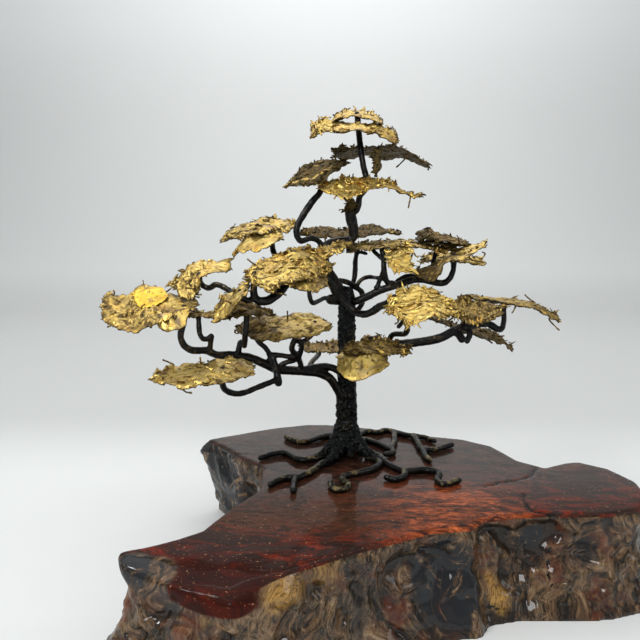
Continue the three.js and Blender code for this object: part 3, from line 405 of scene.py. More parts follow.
foliagePieces = {
    "foliage_crown": {"leaves": [
        {"seed": 1, "tone": (0.3, 0.3), "stain": 0.3, "crinkle": 1,
         "far": [(-11, 20, 290), (-4, 26, 296), (8, 28, 299), (19, 26, 297), (27, 20, 291)],
         "near": [(-16, -10, 281), (-6, -6, 286), (5, -5, 287), (16, -6, 286), (28, -10, 281)]},
        {"seed": 2, "tone": (0.22, 0.22), "stain": 0.2, "crinkle": 1,
         "far": [(-31, 0, 283), (-18, 1, 286), (-3, 2, 284), (14, 1, 282), (27, 1, 282),
             (40, 0, 274)],
         "near": [(-30, -16, 268), (-19, -28, 272), (-6, -33, 271), (6, -33, 272), (19, -28, 270),
             (39, -14, 264)]},
    ], "wires": [
        [(-24.6, -14, 277.1), (-27.8, -18, 272.5), (-30.8, -20, 267.9)],
        [(37.8, -14, 270.1), (39.9, -14, 269), (38.2, -15, 266.8), (38.1, -15, 263.6)],
        [(-27.9, -10, 280.1), (-30.2, -14, 276.3), (-30.2, -15, 274.6)],
    ]},
    "foliage_top_back": {"leaves": [
        {"seed": 3, "tone": (0.78, 0.68), "stain": 0.1, "crinkle": 0.9,
         "far": [(-10, 30, 259), (1, 38, 258), (18, 42, 262), (33, 42, 260), (48, 36, 260),
             (61, 26, 254), (70, 16, 249)],
         "near": [(-12, 5, 263), (-1, 3, 264), (12, 0, 264), (30, 0, 265), (44, -4, 262), (59, 2, 256),
             (70, 8, 250)]},
        {"seed": 39, "tone": (0.7, 0.8), "stain": 0.1, "crinkle": 0.8,
         "far": [(19, -1, 263), (21, -2, 251), (22, -4, 239)],
         "near": [(28, -1, 263), (27, -2, 252), (25, -4, 239)]},
    ], "wires": [
        [(-9.4, 10, 261.7), (-12.7, 8, 261.8)],
        [(-9.9, 12, 258.4), (-14.1, 10, 256.7)],
        [(5.6, 8, 265.3), (5.6, 6, 267.5)],
        [(43.8, 22, 265.4), (47.7, 20, 264.6)],
        [(48.4, 6, 255.5), (44.6, 2, 251.4), (40.6, 0, 247.6)],
        [(69.2, 12, 250.1), (68.9, 12, 246.6)],
        [(58.5, 12, 256.8), (58.9, 10, 258.5)],
        [(-9.3, 20, 266.1), (-11.8, 20, 265.3)],
    ]},
    "foliage_top_left": {"leaves": [
        {"seed": 4, "tone": (0.92, 0.82), "stain": 0.1, "crinkle": 1.1, "gild": 1, "fold": 2,
         "far": [(-51, 12, 233), (-43, 18, 244), (-33, 22, 252), (-21, 22, 256), (-9, 18, 255),
             (1, 10, 253)],
         "near": [(-52, -4, 230), (-40, -16, 232), (-29, -20, 231), (-21, -20, 235), (-12, -16, 241),
             (-1, -6, 249)]},
    ], "wires": [
        [(-42.9, -2, 237.5), (-47.8, -6, 233.6), (-51.5, -8, 231)],
        [(-28.1, 14, 252), (-27.7, 14, 255.3)],
        [(-22.1, 18, 255), (-22, 18, 258)],
        [(-10.9, 20, 256.1), (-9.2, 20, 257.7)],
        [(-34.7, 4, 244.3), (-37.3, 4, 245.4)],
    ]},
    "foliage_top_front": {"leaves": [
        {"seed": 5, "tone": (-0.75, 0.55), "stain": 0.05, "crinkle": 1.25,
         "far": [(-24, -4, 233), (-12, -7, 237), (3, -7, 239), (20, -7, 237), (33, -6, 236),
             (46, -4, 229), (60, -8, 225)],
         "near": [(-22, -26, 226), (-10, -34, 222), (2, -36, 220), (15, -34, 226), (28, -30, 228),
             (44, -22, 224), (59, -14, 221)]},
        {"seed": 6, "tone": (0.4, 0.4), "stain": 0.2, "crinkle": 1,
         "far": [(-4, -5, 211), (1, -5, 212), (5, -5, 212)],
         "near": [(-3, -30, 223), (1, -31, 224), (4, -30, 224)]},
    ], "wires": [
        [(51, -14, 224.5), (50.2, -14, 219.3), (49.1, -14, 213.6)],
        [(-22.2, -26, 229.5), (-24.6, -28, 230.1)],
        [(-10.5, -34, 221.9), (-12, -34, 219.6)],
    ]},
    "foliage_upper_left": {"leaves": [
        {"seed": 7, "tone": (0.3, 0.3), "stain": 0.6, "crinkle": 1,
         "far": [(-109, 20, 189), (-100, 26, 197), (-87, 30, 203), (-72, 32, 206), (-57, 28, 206),
             (-44, 18, 202)],
         "near": [(-107, 2, 186), (-91, -8, 189), (-79, -12, 191), (-66, -12, 194), (-53, -8, 194),
             (-43, 2, 198)]},
        {"seed": 8, "tone": (0.06, 0.06), "stain": 0.2, "crinkle": 0.3, "crumple": 0.5,
         "far": [(-91, -9, 183), (-83, -5, 192), (-71, -3, 197), (-60, -4, 198), (-54, -8, 195)],
         "near": [(-94, -18, 175), (-83, -26, 178), (-73, -30, 179), (-62, -28, 184), (-53, -18, 189)]},
    ], "wires": [
        [(-99.7, 0, 190.3), (-104, -4, 191.2)],
        [(-100, -4, 189.4), (-103.1, -6, 187.7)],
        [(-89.8, -20, 178), (-91.5, -22, 175.9), (-93.3, -22, 173.7)],
        [(-55.4, -8, 188.5), (-52.9, -8, 187.7)],
    ]},
    "foliage_left_front": {"leaves": [
        {"seed": 9, "tone": (0.24, 0.24), "stain": 0.2, "crinkle": 1.25,
         "far": [(-81, -40, 160), (-75, -34, 169), (-63, -30, 174), (-47, -28, 179), (-34, -26, 181),
             (-25, -26, 177), (-14, -28, 169)],
         "near": [(-76, -66, 158), (-67, -74, 152), (-57, -78, 150), (-45, -76, 156), (-33, -70, 158),
             (-25, -62, 159), (-15, -44, 164)]},
        {"seed": 10, "tone": (0.42, 0.42), "stain": 0.6, "crinkle": 0.5,
         "far": [(-50, -62, 161), (-40, -58, 165), (-29, -54, 166), (-19, -46, 163)],
         "near": [(-46, -70, 155), (-35, -80, 151), (-27, -78, 150), (-17, -62, 154)]},
        {"seed": 11, "tone": (0.3, 0.3), "stain": 0.2, "crinkle": 1.1,
         "far": [(-32, -22, 182), (-22, -18, 181), (-12, -15, 184), (3, -12, 188)],
         "near": [(-31, -37, 171), (-20, -30, 171), (-9, -26, 177), (4, -20, 184)]},
    ], "wires": [
        [(-74.5, -40, 168.9), (-76.9, -42, 170.6), (-79.6, -44, 173)],
        [(-76.7, -60, 156.2), (-79.5, -62, 157.8)],
        [(-47, -30, 179), (-46.5, -30, 181.4)],
        [(-74.1, -64, 150.4), (-76.9, -66, 149.8)],
        [(-55.6, -66, 148), (-52.1, -68, 148.2), (-48.1, -68, 146.8)],
    ]},
    "foliage_far_left": {"leaves": [
        {"seed": 12, "tone": (0.42, 0.38), "stain": 0.25, "crinkle": 0.85, "flakes": 0.25,
         "far": [(-193, -46, 141), (-189, -40, 147), (-180, -38, 144), (-170, -34, 149),
             (-162, -32, 151), (-151, -34, 147), (-136, -38, 144), (-119, -42, 141)],
         "near": [(-188, -66, 129), (-177, -74, 124), (-167, -80, 122), (-158, -84, 120),
             (-148, -84, 126), (-139, -82, 128), (-128, -76, 132), (-117, -64, 135)]},
        {"seed": 13, "tone": (-0.15, -0.15), "stain": -1, "crinkle": 0.15, "lift": 0.7, "crumple": 0.4,
         "far": [(-170, -44, 146), (-166, -37, 149), (-159, -33, 151), (-150, -35, 149),
             (-143, -42, 146)],
         "near": [(-166, -54, 142), (-160, -60, 137), (-152, -62, 136), (-145, -58, 139),
             (-141, -50, 143)]},
        {"seed": 14, "tone": (0.2, 0.2), "stain": 0.8, "crinkle": 0.3,
         "far": [(-144, -72, 135), (-134, -76, 134), (-120, -68, 138)],
         "near": [(-141, -82, 125), (-131, -87, 121), (-121, -82, 126)]},
    ], "wires": [
        [(-184.6, -42, 145.7), (-184.6, -44, 149)],
        [(-179.1, -70, 124.7), (-181.1, -72, 123.2)],
        [(-141.1, -76, 124.1), (-138.4, -78, 121.9), (-134.9, -78, 120.9)],
        [(-129, -70, 128.5), (-125.7, -72, 124.2)],
    ]},
    "foliage_left_drop": {"leaves": [
        {"seed": 15, "tone": (0.25, 0.25), "stain": 0.5, "crinkle": 0.6,
         "far": [(-104, -55, 138), (-97, -52, 145), (-90, -50, 149), (-84, -48, 152), (-79, -46, 153)],
         "near": [(-102, -68, 126), (-90, -74, 134), (-84, -76, 141), (-80, -72, 146), (-77, -62, 150)]},
        {"seed": 16, "tone": (0.55, 0.55), "stain": 0.3, "crinkle": 1,
         "far": [(-99, -42, 136), (-93, -36, 138), (-84, -34, 140), (-74, -34, 137), (-60, -38, 132)],
         "near": [(-101, -64, 128), (-95, -64, 128), (-85, -62, 130), (-75, -60, 130), (-60, -46, 130)]},
        {"seed": 17, "tone": (0.45, 0.45), "stain": 0.2, "crinkle": 1,
         "far": [(-130, -46, 131), (-120, -44, 132), (-109, -44, 132), (-93, -46, 134)],
         "near": [(-127, -58, 128), (-117, -60, 129), (-107, -63, 130), (-92, -67, 132)]},
    ], "wires": [
        [(-135.8, -60, 125.7), (-137.3, -60, 127.2)],
        [(-73.1, -46, 135.4), (-67, -44, 134.4), (-61.5, -44, 132.2)],
        [(-102.1, -60, 135.6), (-100.6, -60, 132.6)],
        [(-92.9, -70, 142.7), (-96.3, -72, 141.4)],
    ]},
    "foliage_left_bend": {"leaves": [
        {"seed": 18, "tone": (0.4, 0.05), "stain": 0.2, "crinkle": 0.7, "flakes": 0.5,
         "far": [(-144, -32, 150), (-138, -26, 158), (-131, -20, 166), (-124, -14, 170),
             (-112, -10, 170), (-96, -6, 172)],
         "near": [(-135, -42, 149), (-124, -44, 151), (-118, -44, 153), (-116, -40, 159),
             (-107, -34, 161), (-97, -28, 162)]},
        {"seed": 38, "tone": (0.4, 0.3), "stain": 0.2, "crinkle": 1,
         "far": [(-137, -41, 157), (-127, -40, 159), (-116, -40, 158)],
         "near": [(-133, -47, 145), (-126, -48, 142), (-118, -46, 144)]},
    ], "wires": [
        [(-146.5, -34, 146.3), (-143.6, -34, 148.1), (-140.9, -34, 150.5)],
        [(-123.7, -42, 145.9), (-118.8, -42, 148.2)],
        [(-122.5, -42, 144.9), (-116.1, -42, 145.1)],
        [(-122.1, -42, 143.7), (-117.6, -43, 142.9)],
        [(-98.9, -8, 170.3), (-96.4, -8, 171.6)],
    ]},
    "foliage_lower_left": {"leaves": [
        {"seed": 19, "tone": (0.75, 0.08), "stain": 0.3, "crinkle": 0.45, "flakes": 0.4,
         "far": [(-92, -22, 118), (-82, -18, 124), (-71, -14, 126), (-58, -12, 125), (-43, -10, 126),
             (-32, -10, 126), (-14, -14, 120)],
         "near": [(-89, -36, 114), (-77, -44, 111), (-65, -54, 110), (-52, -58, 112), (-40, -54, 113),
             (-28, -48, 114), (-14, -34, 117)]},
    ], "wires": [
        [(-49.7, -20, 124.7), (-50, -20, 129.8)],
        [(-86.6, -40, 119.9), (-90.3, -42, 119.8)],
        [(-84.6, -44, 115.7), (-88.7, -46, 114.7), (-90.2, -46, 116.3)],
        [(-15.6, -24, 118.6), (-13.2, -24, 119.4)],
    ]},
    "foliage_low_left": {"leaves": [
        {"seed": 20, "tone": (0.22, 0.24), "stain": 0.2, "crinkle": 0.75, "flakes": 0.5,
         "far": [(-147, -80, 88), (-139, -71, 92), (-129, -64, 93), (-113, -60, 94), (-99, -56, 96),
             (-86, -53, 96), (-76, -50, 93)],
         "near": [(-145, -88, 85), (-130, -96, 84), (-118, -102, 84), (-104, -104, 87),
             (-92, -102, 87), (-80, -94, 88), (-72, -76, 89)]},
    ], "wires": [
        [(-133.3, -70, 94.5), (-136.9, -72, 97), (-140.4, -74, 99)],
        [(-136.7, -88, 88.4), (-140.9, -90, 88.4), (-145.5, -90, 87.7)],
        [(-113.9, -64, 95), (-114.4, -64, 99.3)],
        [(-108.7, -62, 95.1), (-108.7, -62, 96.6)],
        [(-121.4, -96, 83), (-119.2, -97, 80.2), (-114.3, -98, 79.6)],
        [(-74.7, -80, 91), (-71.3, -80, 91.5)],
    ]},
    "foliage_trunk_front": {"leaves": [
        {"seed": 21, "tone": (-0.4, -0.4), "stain": 0.5, "crinkle": 0.2, "crumple": 0.3, "fold": 5,
         "far": [(-8, -15, 91), (2, -10, 98), (16, -10, 100), (31, -12, 98)],
         "near": [(-9, -34, 84), (-2, -44, 78), (7, -48, 78), (20, -46, 82), (33, -36, 88)]},
        {"seed": 22, "tone": (0.48, 0.48), "stain": 0.3, "crinkle": 1.2,
         "far": [(-3, -9, 97), (9, -6, 103), (21, -5, 106), (34, -10, 104), (46, -14, 100),
             (53, -18, 98)],
         "near": [(-4, -24, 94), (8, -30, 96), (21, -32, 96), (32, -32, 95), (42, -28, 94),
             (51, -23, 95)]},
    ], "wires": [
        [(40.1, -20, 94.9), (46.2, -18, 96.8), (52.3, -18, 98.8)],
        [(43.4, -20, 94.1), (48.4, -20, 94.2)],
        [(12.6, -8, 104.1), (15.5, -8, 107.9)],
        [(18.5, -8, 105.3), (21, -8, 106.5)],
    ]},
    "foliage_trunk_back": {"leaves": [
        {"seed": 23, "tone": (0.65, 0.65), "stain": 0.1, "crinkle": 1,
         "far": [(-41, 40, 92), (-27, 46, 93), (-10, 48, 93), (11, 48, 92), (27, 44, 92)],
         "near": [(-40, 20, 90), (-27, 14, 88), (-11, 11, 89), (9, 11, 89), (25, 14, 89)]},
    ], "wires": [
        [(-39.3, 30, 93.4), (-42.9, 28, 93)],
        [(-38.3, 24, 90.8), (-41.5, 22, 89.8)],
    ]},
    "foliage_front": {"leaves": [
        {"seed": 24, "tone": (-0.02, 0.04), "stain": 0.1, "crinkle": 1.25,
         "far": [(27, -58, 138), (34, -50, 145), (43, -46, 150), (54, -44, 152), (64, -46, 150),
             (72, -50, 145), (80, -59, 138)],
         "near": [(28, -72, 134), (34, -82, 131), (41, -88, 127), (50, -88, 130), (59, -86, 133),
             (69, -80, 131), (79, -69, 134)]},
    ], "wires": [
        [(26, -72, 135.4), (23.9, -72, 133.6)],
        [(33.5, -84, 128.7), (31.1, -86, 127.5)],
        [(73.9, -50, 138.5), (77, -50, 140.2)],
        [(45, -50, 150.9), (44.2, -50, 153.5)],
    ]},
    "foliage_right_ridged": {"leaves": [
        {"seed": 25, "tone": (0.5, 0.5), "stain": 0.3, "crinkle": 1.1,
         "far": [(79, -40, 139), (89, -34, 140), (98, -31, 139), (111, -31, 138), (123, -31, 134)],
         "near": [(77, -53, 132), (85, -62, 127), (94, -66, 124), (105, -62, 126), (118, -48, 131)]},
    ], "wires": [
        [(111.9, -40, 124.7), (115.1, -40, 125.5)],
        [(73.8, -60, 125.7), (71.6, -60, 124.1)],
    ]},
    "foliage_far_right": {"leaves": [
        {"seed": 26, "tone": (0.38, 0.55), "stain": 0.4, "crinkle": 0.8, "flakes": 0.6,
         "far": [(99, 2, 140), (115, 6, 139), (132, 10, 137), (147, 10, 136), (160, 6, 134),
             (170, 0, 129), (179, -6, 123)],
         "near": [(98, -12, 140), (108, -20, 139), (122, -24, 137), (135, -24, 135), (148, -22, 133),
             (162, -18, 127), (177, -13, 119)]},
    ], "wires": [
        [(108.6, -6, 138.6), (103.1, -8, 139.7), (98.3, -8, 140.3)],
        [(160.6, 0, 134.3), (155.8, 0, 137.8), (151.5, 0, 141.5)],
        [(171, -6, 121.3), (174.7, -8, 116.4), (179.5, -8, 112)],
        [(176.1, -4, 127.9), (178.4, -5, 122.9), (179.5, -6, 118.1)],
        [(137.4, -18, 130.3), (135.8, -18, 127.8)],
    ]},
    "foliage_right_under": {"leaves": [
        {"seed": 27, "tone": (0.72, 0.72), "stain": 0.1, "crinkle": 1,
         "far": [(75, 20, 119), (90, 24, 116), (105, 26, 112), (120, 24, 109), (135, 18, 104),
             (145, 10, 94)],
         "near": [(73, 8, 119), (85, -4, 115), (97, -12, 111), (113, -8, 106), (129, -4, 101),
             (144, 3, 91)]},
    ], "wires": [
        [(115.1, 8, 107.3), (120.4, 6, 102.7), (126.6, 4, 98.9)],
        [(130.5, 8, 103.8), (138, 6, 97.9), (145, 4, 93.1)],
        [(129.3, 10, 103.5), (134.5, 10, 104.3), (138.5, 10, 104.3)],
        [(86.1, 10, 114.9), (79.1, 10, 117), (72.1, 10, 119.5)],
    ]},
    "foliage_right_dark": {"leaves": [
        {"seed": 28, "tone": (0.85, 0.5), "stain": 0.1, "crinkle": 1,
         "far": [(63, 28, 193), (74, 34, 196), (86, 36, 193), (98, 32, 189), (108, 22, 185)],
         "near": [(60, 6, 189), (68, 0, 189), (78, -4, 187), (91, -4, 184), (106, 4, 183)]},
        {"seed": 29, "tone": (0.8, 0.8), "stain": 0.1, "crinkle": 1,
         "far": [(63, 20, 185), (74, 26, 187), (88, 26, 186), (104, 22, 186)],
         "near": [(60, 4, 183), (70, -2, 184), (83, -2, 182), (103, 3, 185)]},
    ], "wires": [
        [(64.2, 2, 188.2), (58.6, 0, 183.3)],
        [(63, 6, 193.6), (59.8, 6, 194.8)],
        [(71.3, 20, 195.8), (72.5, 20, 197.7)],
    ]},
    "foliage_right_slant": {"leaves": [
        {"seed": 30, "tone": (0.7, 0.12), "stain": 0.3, "crinkle": 0.5,
         "far": [(56, -4, 163), (71, -3, 167), (83, 2, 172), (94, 6, 180), (104, 4, 183),
             (114, -4, 185)],
         "near": [(56, -24, 158), (69, -30, 156), (77, -34, 169), (92, -32, 171), (101, -26, 178),
             (113, -15, 182)]},
    ], "wires": [
        [(105.6, -14, 167.5), (105.2, -14, 165.7), (102.3, -15, 165.1), (99.6, -15, 164)],
        [(106.7, 0, 182.8), (111.2, 0, 184.4), (116.3, 0, 183.5)],
        [(101, -20, 171.5), (107.5, -20, 170.2), (111.2, -20, 169.1)],
        [(67.7, -14, 171.7), (63.6, -14, 172.5)],
    ]},
    "foliage_right_back": {"leaves": [
        {"seed": 31, "tone": (0.18, 0.12), "stain": 0.2, "crinkle": 1,
         "far": [(69, 30, 173), (78, 34, 176), (93, 34, 175), (110, 30, 173), (122, 20, 170)],
         "near": [(66, 20, 169), (78, 18, 170), (91, 10, 170), (105, 4, 167), (118, 8, 166)]},
    ], "wires": [
        [(119, 20, 177.3), (121.7, 20, 176)],
        [(68.9, 24, 171.2), (65.1, 22, 170.4)],
    ]},
    "foliage_centre_right": {"leaves": [
        {"seed": 32, "tone": (0.34, 0.34), "stain": 0.2, "crinkle": 1,
         "far": [(0, 14, 183), (17, 22, 186), (34, 26, 187), (49, 26, 187), (65, 22, 185),
             (79, 14, 182), (93, 8, 180)],
         "near": [(-1, 6, 181), (15, -12, 179), (29, -16, 181), (44, -18, 182), (59, -14, 181),
             (76, -6, 178), (91, 0, 178)]},
        {"seed": 33, "tone": (-0.05, -0.05), "stain": 0.1, "crinkle": 1.1,
         "far": [(33, -18, 178), (42, -11, 184), (52, -14, 183)],
         "near": [(31, -40, 166), (39, -46, 163), (51, -42, 162)]},
    ], "wires": [
        [(51.7, -30, 177.7), (53.7, -30, 175), (55.7, -30, 174.1)],
        [(52.7, -14, 182), (56, -14, 182.8)],
        [(72.3, 4, 182.6), (75.7, 4, 183.3)],
        [(36.3, -44, 163.7), (35.1, -44, 161.4)],
        [(6.4, -4, 178.5), (2.2, -4, 177.2), (-1.2, -4, 177.7)],
    ]},
    "foliage_centre_back": {"leaves": [
        {"seed": 34, "tone": (0.75, 0.75), "stain": 0.1, "crinkle": 0.8,
         "far": [(-41, 26, 196), (-27, 30, 199), (-11, 32, 199), (6, 34, 198), (24, 36, 201),
             (38, 32, 197), (48, 26, 194)],
         "near": [(-39, 12, 192), (-25, 7, 190), (-11, 5, 189), (4, 3, 190), (21, 6, 191),
             (36, 12, 193), (47, 18, 192)]},
    ], "wires": [
        [(-35.1, 16, 197.3), (-37.8, 14, 198.2)],
        [(-35.4, 10, 194), (-39.2, 8, 193.8)],
        [(45.3, 22, 196), (48, 22, 195)],
    ]},
}

offAxis = np.array([0.31, 0.73, 0.61])  # no rod or wire runs this way
leafPlan = {
    "pitch": 1.02,  # facet size
    "thickness": 1.5, "rimThickness": 0.5,
    "dent": 1.3, "dentReach": 16.0,  # the solid's own crumple
    "crumple": 1.0, "crumpleSize": 9.0,
    "crinkle": 0.85, "crinkleSize": 3.6,
    "fret": 0.3, "frettedSize": 1.7,
    "tear": 1.7, "tearSize": 7.0,
    "tooth": 3.6, "toothSize": 2.6,
    "rimReach": 3.2, "thinReach": 2.6,  # how far in from a rim the tears and the thinning go
    "curl": 1.5, "curlSize": 6.0, "curlReach": 2.4,
    "bead": 0.55, "beadSize": 2.6, "beadReach": 1.1,
    "calmSize": 15.0,  # stretches that stayed smooth
    "gildPlace": 0.26, "gildWidth": 1.8,  # a bright ridge, as a share of the way from near to far
    "flakeArea": 34.0,  # one loose flake for so many square mm of a rough leaf
    "flakeLength": (4.0, 9.5), "flakeWidth": (1.2, 2.8), "flakeThickness": 0.56, "flakeTilt": 0.4,
    "needleSpan": 32.0,  # one whisker for so many mm of a rough rim
}


def sheetFaces(shape):
    # the two skins of a sheet of points and the wall round its rim
    index = np.arange(shape[0] * shape[1]).reshape(shape)
    quads = np.stack([index[:-1, :-1], index[1:, :-1], index[1:, 1:], index[:-1, 1:]], -1).reshape(-1, 4)
    loop = np.concatenate([index[:, 0], index[-1, 1:], index[-2::-1, -1], index[0, -2:0:-1]])
    after = np.roll(loop, -1)
    walls = np.stack([loop, loop + index.size, after + index.size, after], -1)
    return np.vstack([quads, quads[:, ::-1] + index.size, walls]).tolist()


def tube(centre, radius, side, along, sides):
    # the rings of points round a line, and the faces between them
    up = np.cross(side, along)
    angle = np.arange(sides) * 2 * math.pi / sides
    rings = centre[:, None] + radius[:, None, None] * (
        side[:, None] * np.cos(angle)[:, None] + up[:, None] * np.sin(angle)[:, None])
    index = np.arange(len(centre) * sides).reshape(-1, sides)
    turn = np.roll(index, -1, axis=1)
    faces = np.stack([index[:-1], turn[:-1], turn[1:], index[1:]], -1).reshape(-1, 4).tolist()
    return rings.reshape(-1, 3), faces, index, turn


def splinePoints(points, shares):
    # centripetal spline through the points, as even shares of its spans
    knots = np.array(points, float)
    knots = np.vstack([2 * knots[0] - knots[1], knots, 2 * knots[-1] - knots[-2]])
    place = np.clip(shares, 0, 1) * (len(points) - 1)
    span = np.minimum(place.astype(int), len(points) - 2)
    t = (place - span)[:, None]
    a, b, c, d = (knots[span + k] for k in range(4))
    before, within, after = (np.sqrt(np.linalg.norm(q - p, axis=1))[:, None]
                             for p, q in ((a, b), (b, c), (c, d)))
    start = ((b - a) / before - (c - a) / (before + within) + (c - b) / within) * within
    end = ((c - b) / within - (d - b) / (within + after) + (d - c) / after) * within
    return b + start * t + (3 * (c - b) - 2 * start - end) * t ** 2 + (2 * (b - c) + start + end) * t ** 3


def rippled(a, b, seed):
    return (np.sin(2.1 * a + 1.3 * b + seed) + np.sin(3.7 * b - 1.9 * a + 2.3 * seed)
            + np.sin(5.3 * a + 4.1 * b + 0.7 * seed)) / 3


def unit(vectors):
    return vectors / np.maximum(np.linalg.norm(vectors, axis=-1, keepdims=True), 1e-9)


def tornLeaf(leaf):
    plan, seed, rough = leafPlan, leaf["seed"], leaf["crinkle"]
    ends = np.linspace(0, 1, 40)
    far, near = splinePoints(leaf["far"], ends), splinePoints(leaf["near"], ends)
    length = max(np.linalg.norm(np.diff(edge, axis=0), axis=1).sum() for edge in (far, near))
    width = np.linalg.norm(far - near, axis=1).max()
    columns, rows = (max(5, round(size / plan["pitch"])) for size in (length, width))
    u, v = np.linspace(0, 1, columns + 1), np.linspace(0, 1, rows + 1)
    far, near = splinePoints(leaf["far"], u), splinePoints(leaf["near"], u)
    sheet = near[:, None] * (1 - v[:, None]) + far[:, None] * v[:, None]
    across = unit(far - near)[:, None]
    along = unit(np.gradient(sheet, axis=0))
    gap = np.linalg.norm(far - near, axis=1)[:, None]

    # distances in mm to the four rims
    toSide = np.minimum(v, 1 - v)[None] * gap
    toEnd = (np.minimum(u, 1 - u) * length)[:, None] * np.ones_like(v)
    toRim = np.minimum(toSide, toEnd)

    def tearOf(places):
        flat = places.reshape(-1, 3)
        slow = plan["tear"] * smoothNoise(flat, plan["tearSize"], seed)
        teeth = np.maximum(ridgeNoise(flat, plan["toothSize"], seed + 40), 0) ** 3
        ragged = 0.3 + 0.7 * rough
        longer = (0.25 + 1.3 * np.maximum(smoothNoise(flat, 9, seed + 50) + 0.3, 0)) * ragged
        bites = np.maximum(smoothNoise(flat, 4.2, seed + 60) - 0.2, 0) * 5 * ragged
        return (slow + plan["tooth"] * teeth * longer - bites).reshape(places.shape[:-1])

    side = np.where(v[None] > 0.5, 1, -1) * np.exp(-((toSide / plan["rimReach"]) ** 2))
    edgePlaces = np.where((v > 0.5)[None, :, None], far[:, None], near[:, None])
    pull = tearOf(edgePlaces) * side
    endPlaces = np.where((u > 0.5)[:, None, None], sheet[-1][None], sheet[0][None])
    endPull = (tearOf(endPlaces) * np.where(u > 0.5, 1, -1)[:, None]
               * np.exp(-((toEnd / plan["rimReach"]) ** 2)))
    sheet = sheet + across * pull[..., None] + along * endPull[..., None]

    slopeU, slopeV = np.gradient(sheet, axis=0), np.gradient(sheet, axis=1)
    facing = unit(np.cross(slopeU, slopeV))
    facing = unit(facing + 2 * unit(facing.mean((0, 1))))
    facesLight = 1 if facing.mean((0, 1)) @ np.array([0, -0.55, 0.8]) > 0 else -1  # the side that faces up and to the front; the other is marked under for painted shade
    flat = sheet.reshape(-1, 3)
    edge = np.abs(2 * v - 1)[None]
    dent = plan["dent"] * leaf.get("crumple", 1) * rippled(
        sheet[..., 0] / plan["dentReach"], sheet[..., 1] / plan["dentReach"], seed)
    dent = dent + leaf.get("fold", 0) * (1 - edge) + leaf.get("lift", 0)
    calm = ease(smoothNoise(flat, plan["calmSize"], seed + 70), -0.35, 0.3)
    strength = (0.35 + 0.65 * calm) * rough
    drift = flat + 2.2 * np.stack([smoothNoise(flat, 6, seed + k) for k in (81, 82, 83)], axis=1)
    lie = leaf.get("lie", seed * 1.7)  # the way in which this leaf's ridges run
    turned = drift[:, :2] @ np.array([[math.cos(lie), -math.sin(lie)], [math.sin(lie), math.cos(lie)]])
    ribbed = np.column_stack([turned[:, 0] * 0.45, turned[:, 1], drift[:, 2]])
    crumple = ridgeNoise(drift, plan["crumpleSize"], seed + 90) * plan["crumple"] * (0.4 + 0.6 * rough)
    crinkle = ridgeNoise(ribbed, plan["crinkleSize"], seed + 100)
    fret = smoothNoise(flat, plan["frettedSize"], seed + 110)
    relief = (crumple - 0.3) * 0.75 + strength * (plan["crinkle"] * (crinkle - 0.25) + plan["fret"] * fret)
    relief = relief.reshape(toRim.shape)
    curl = smoothNoise(edgePlaces.reshape(-1, 3), plan["curlSize"], seed + 120).reshape(toRim.shape)
    curl = plan["curl"] * curl * np.exp(-toRim / plan["curlReach"])
    middle = sheet + facing * (dent + relief * (1 - 0.35 * np.exp(-toRim / 1.5)) + curl)[..., None]
    beads = np.maximum(smoothNoise(edgePlaces.reshape(-1, 3), plan["beadSize"], seed + 130), 0)
    thickening = (plan["thickness"] - plan["rimThickness"]) * ease(toRim, 0, plan["thinReach"])
    half = 0.5 * (plan["rimThickness"] + thickening)
    half = half + plan["bead"] * beads.reshape(toRim.shape) * np.exp(-((toRim / plan["beadReach"]) ** 2))

    top, bottom = middle + facing * half[..., None], middle - facing * half[..., None]
    points = np.vstack([top.reshape(-1, 3), bottom.reshape(-1, 3)])
    lower = toRim.size
    crease = (strength * crinkle + 0.5 * ridgeNoise(drift, plan["crumpleSize"], seed + 90)
              + 0.35 * rough * fret)
    tone = leaf["tone"][0] + (leaf["tone"][1] - leaf["tone"][0]) * u[:, None] * np.ones_like(v)
    rim = np.exp(-toRim / 1.3)
    toGild = (v[None] - plan["gildPlace"]) * gap + 1.5 * smoothNoise(flat, 9, 5).reshape(toRim.shape)
    gild = leaf.get("gild", 0) * np.exp(-(toGild / plan["gildWidth"]) ** 2)
    tone = tone * (1 - gild)
    rim = rim * (1 - gild)
    # crease and under darken the hollows and the side away from the light: painted shade together with soot
    values = {
        "tone": np.tile(np.ravel(tone), 2), "rim": np.tile(np.ravel(rim), 2),
        "crease": np.concatenate([np.ravel(crease), np.ravel(-crease)]),
        "under": np.repeat([0.0, 1.0] if facesLight > 0 else [1.0, 0.0], lower),
        "stain": np.full(2 * lower, float(leaf["stain"])),
    }
    ground = {"top": top, "facing": facing, "calm": calm.reshape(toRim.shape),
              "tone": tone, "length": length, "width": width,
              "tangents": (unit(np.gradient(top, axis=0)), unit(np.gradient(top, axis=1)))}
    return (points, sheetFaces(toRim.shape), values), ground


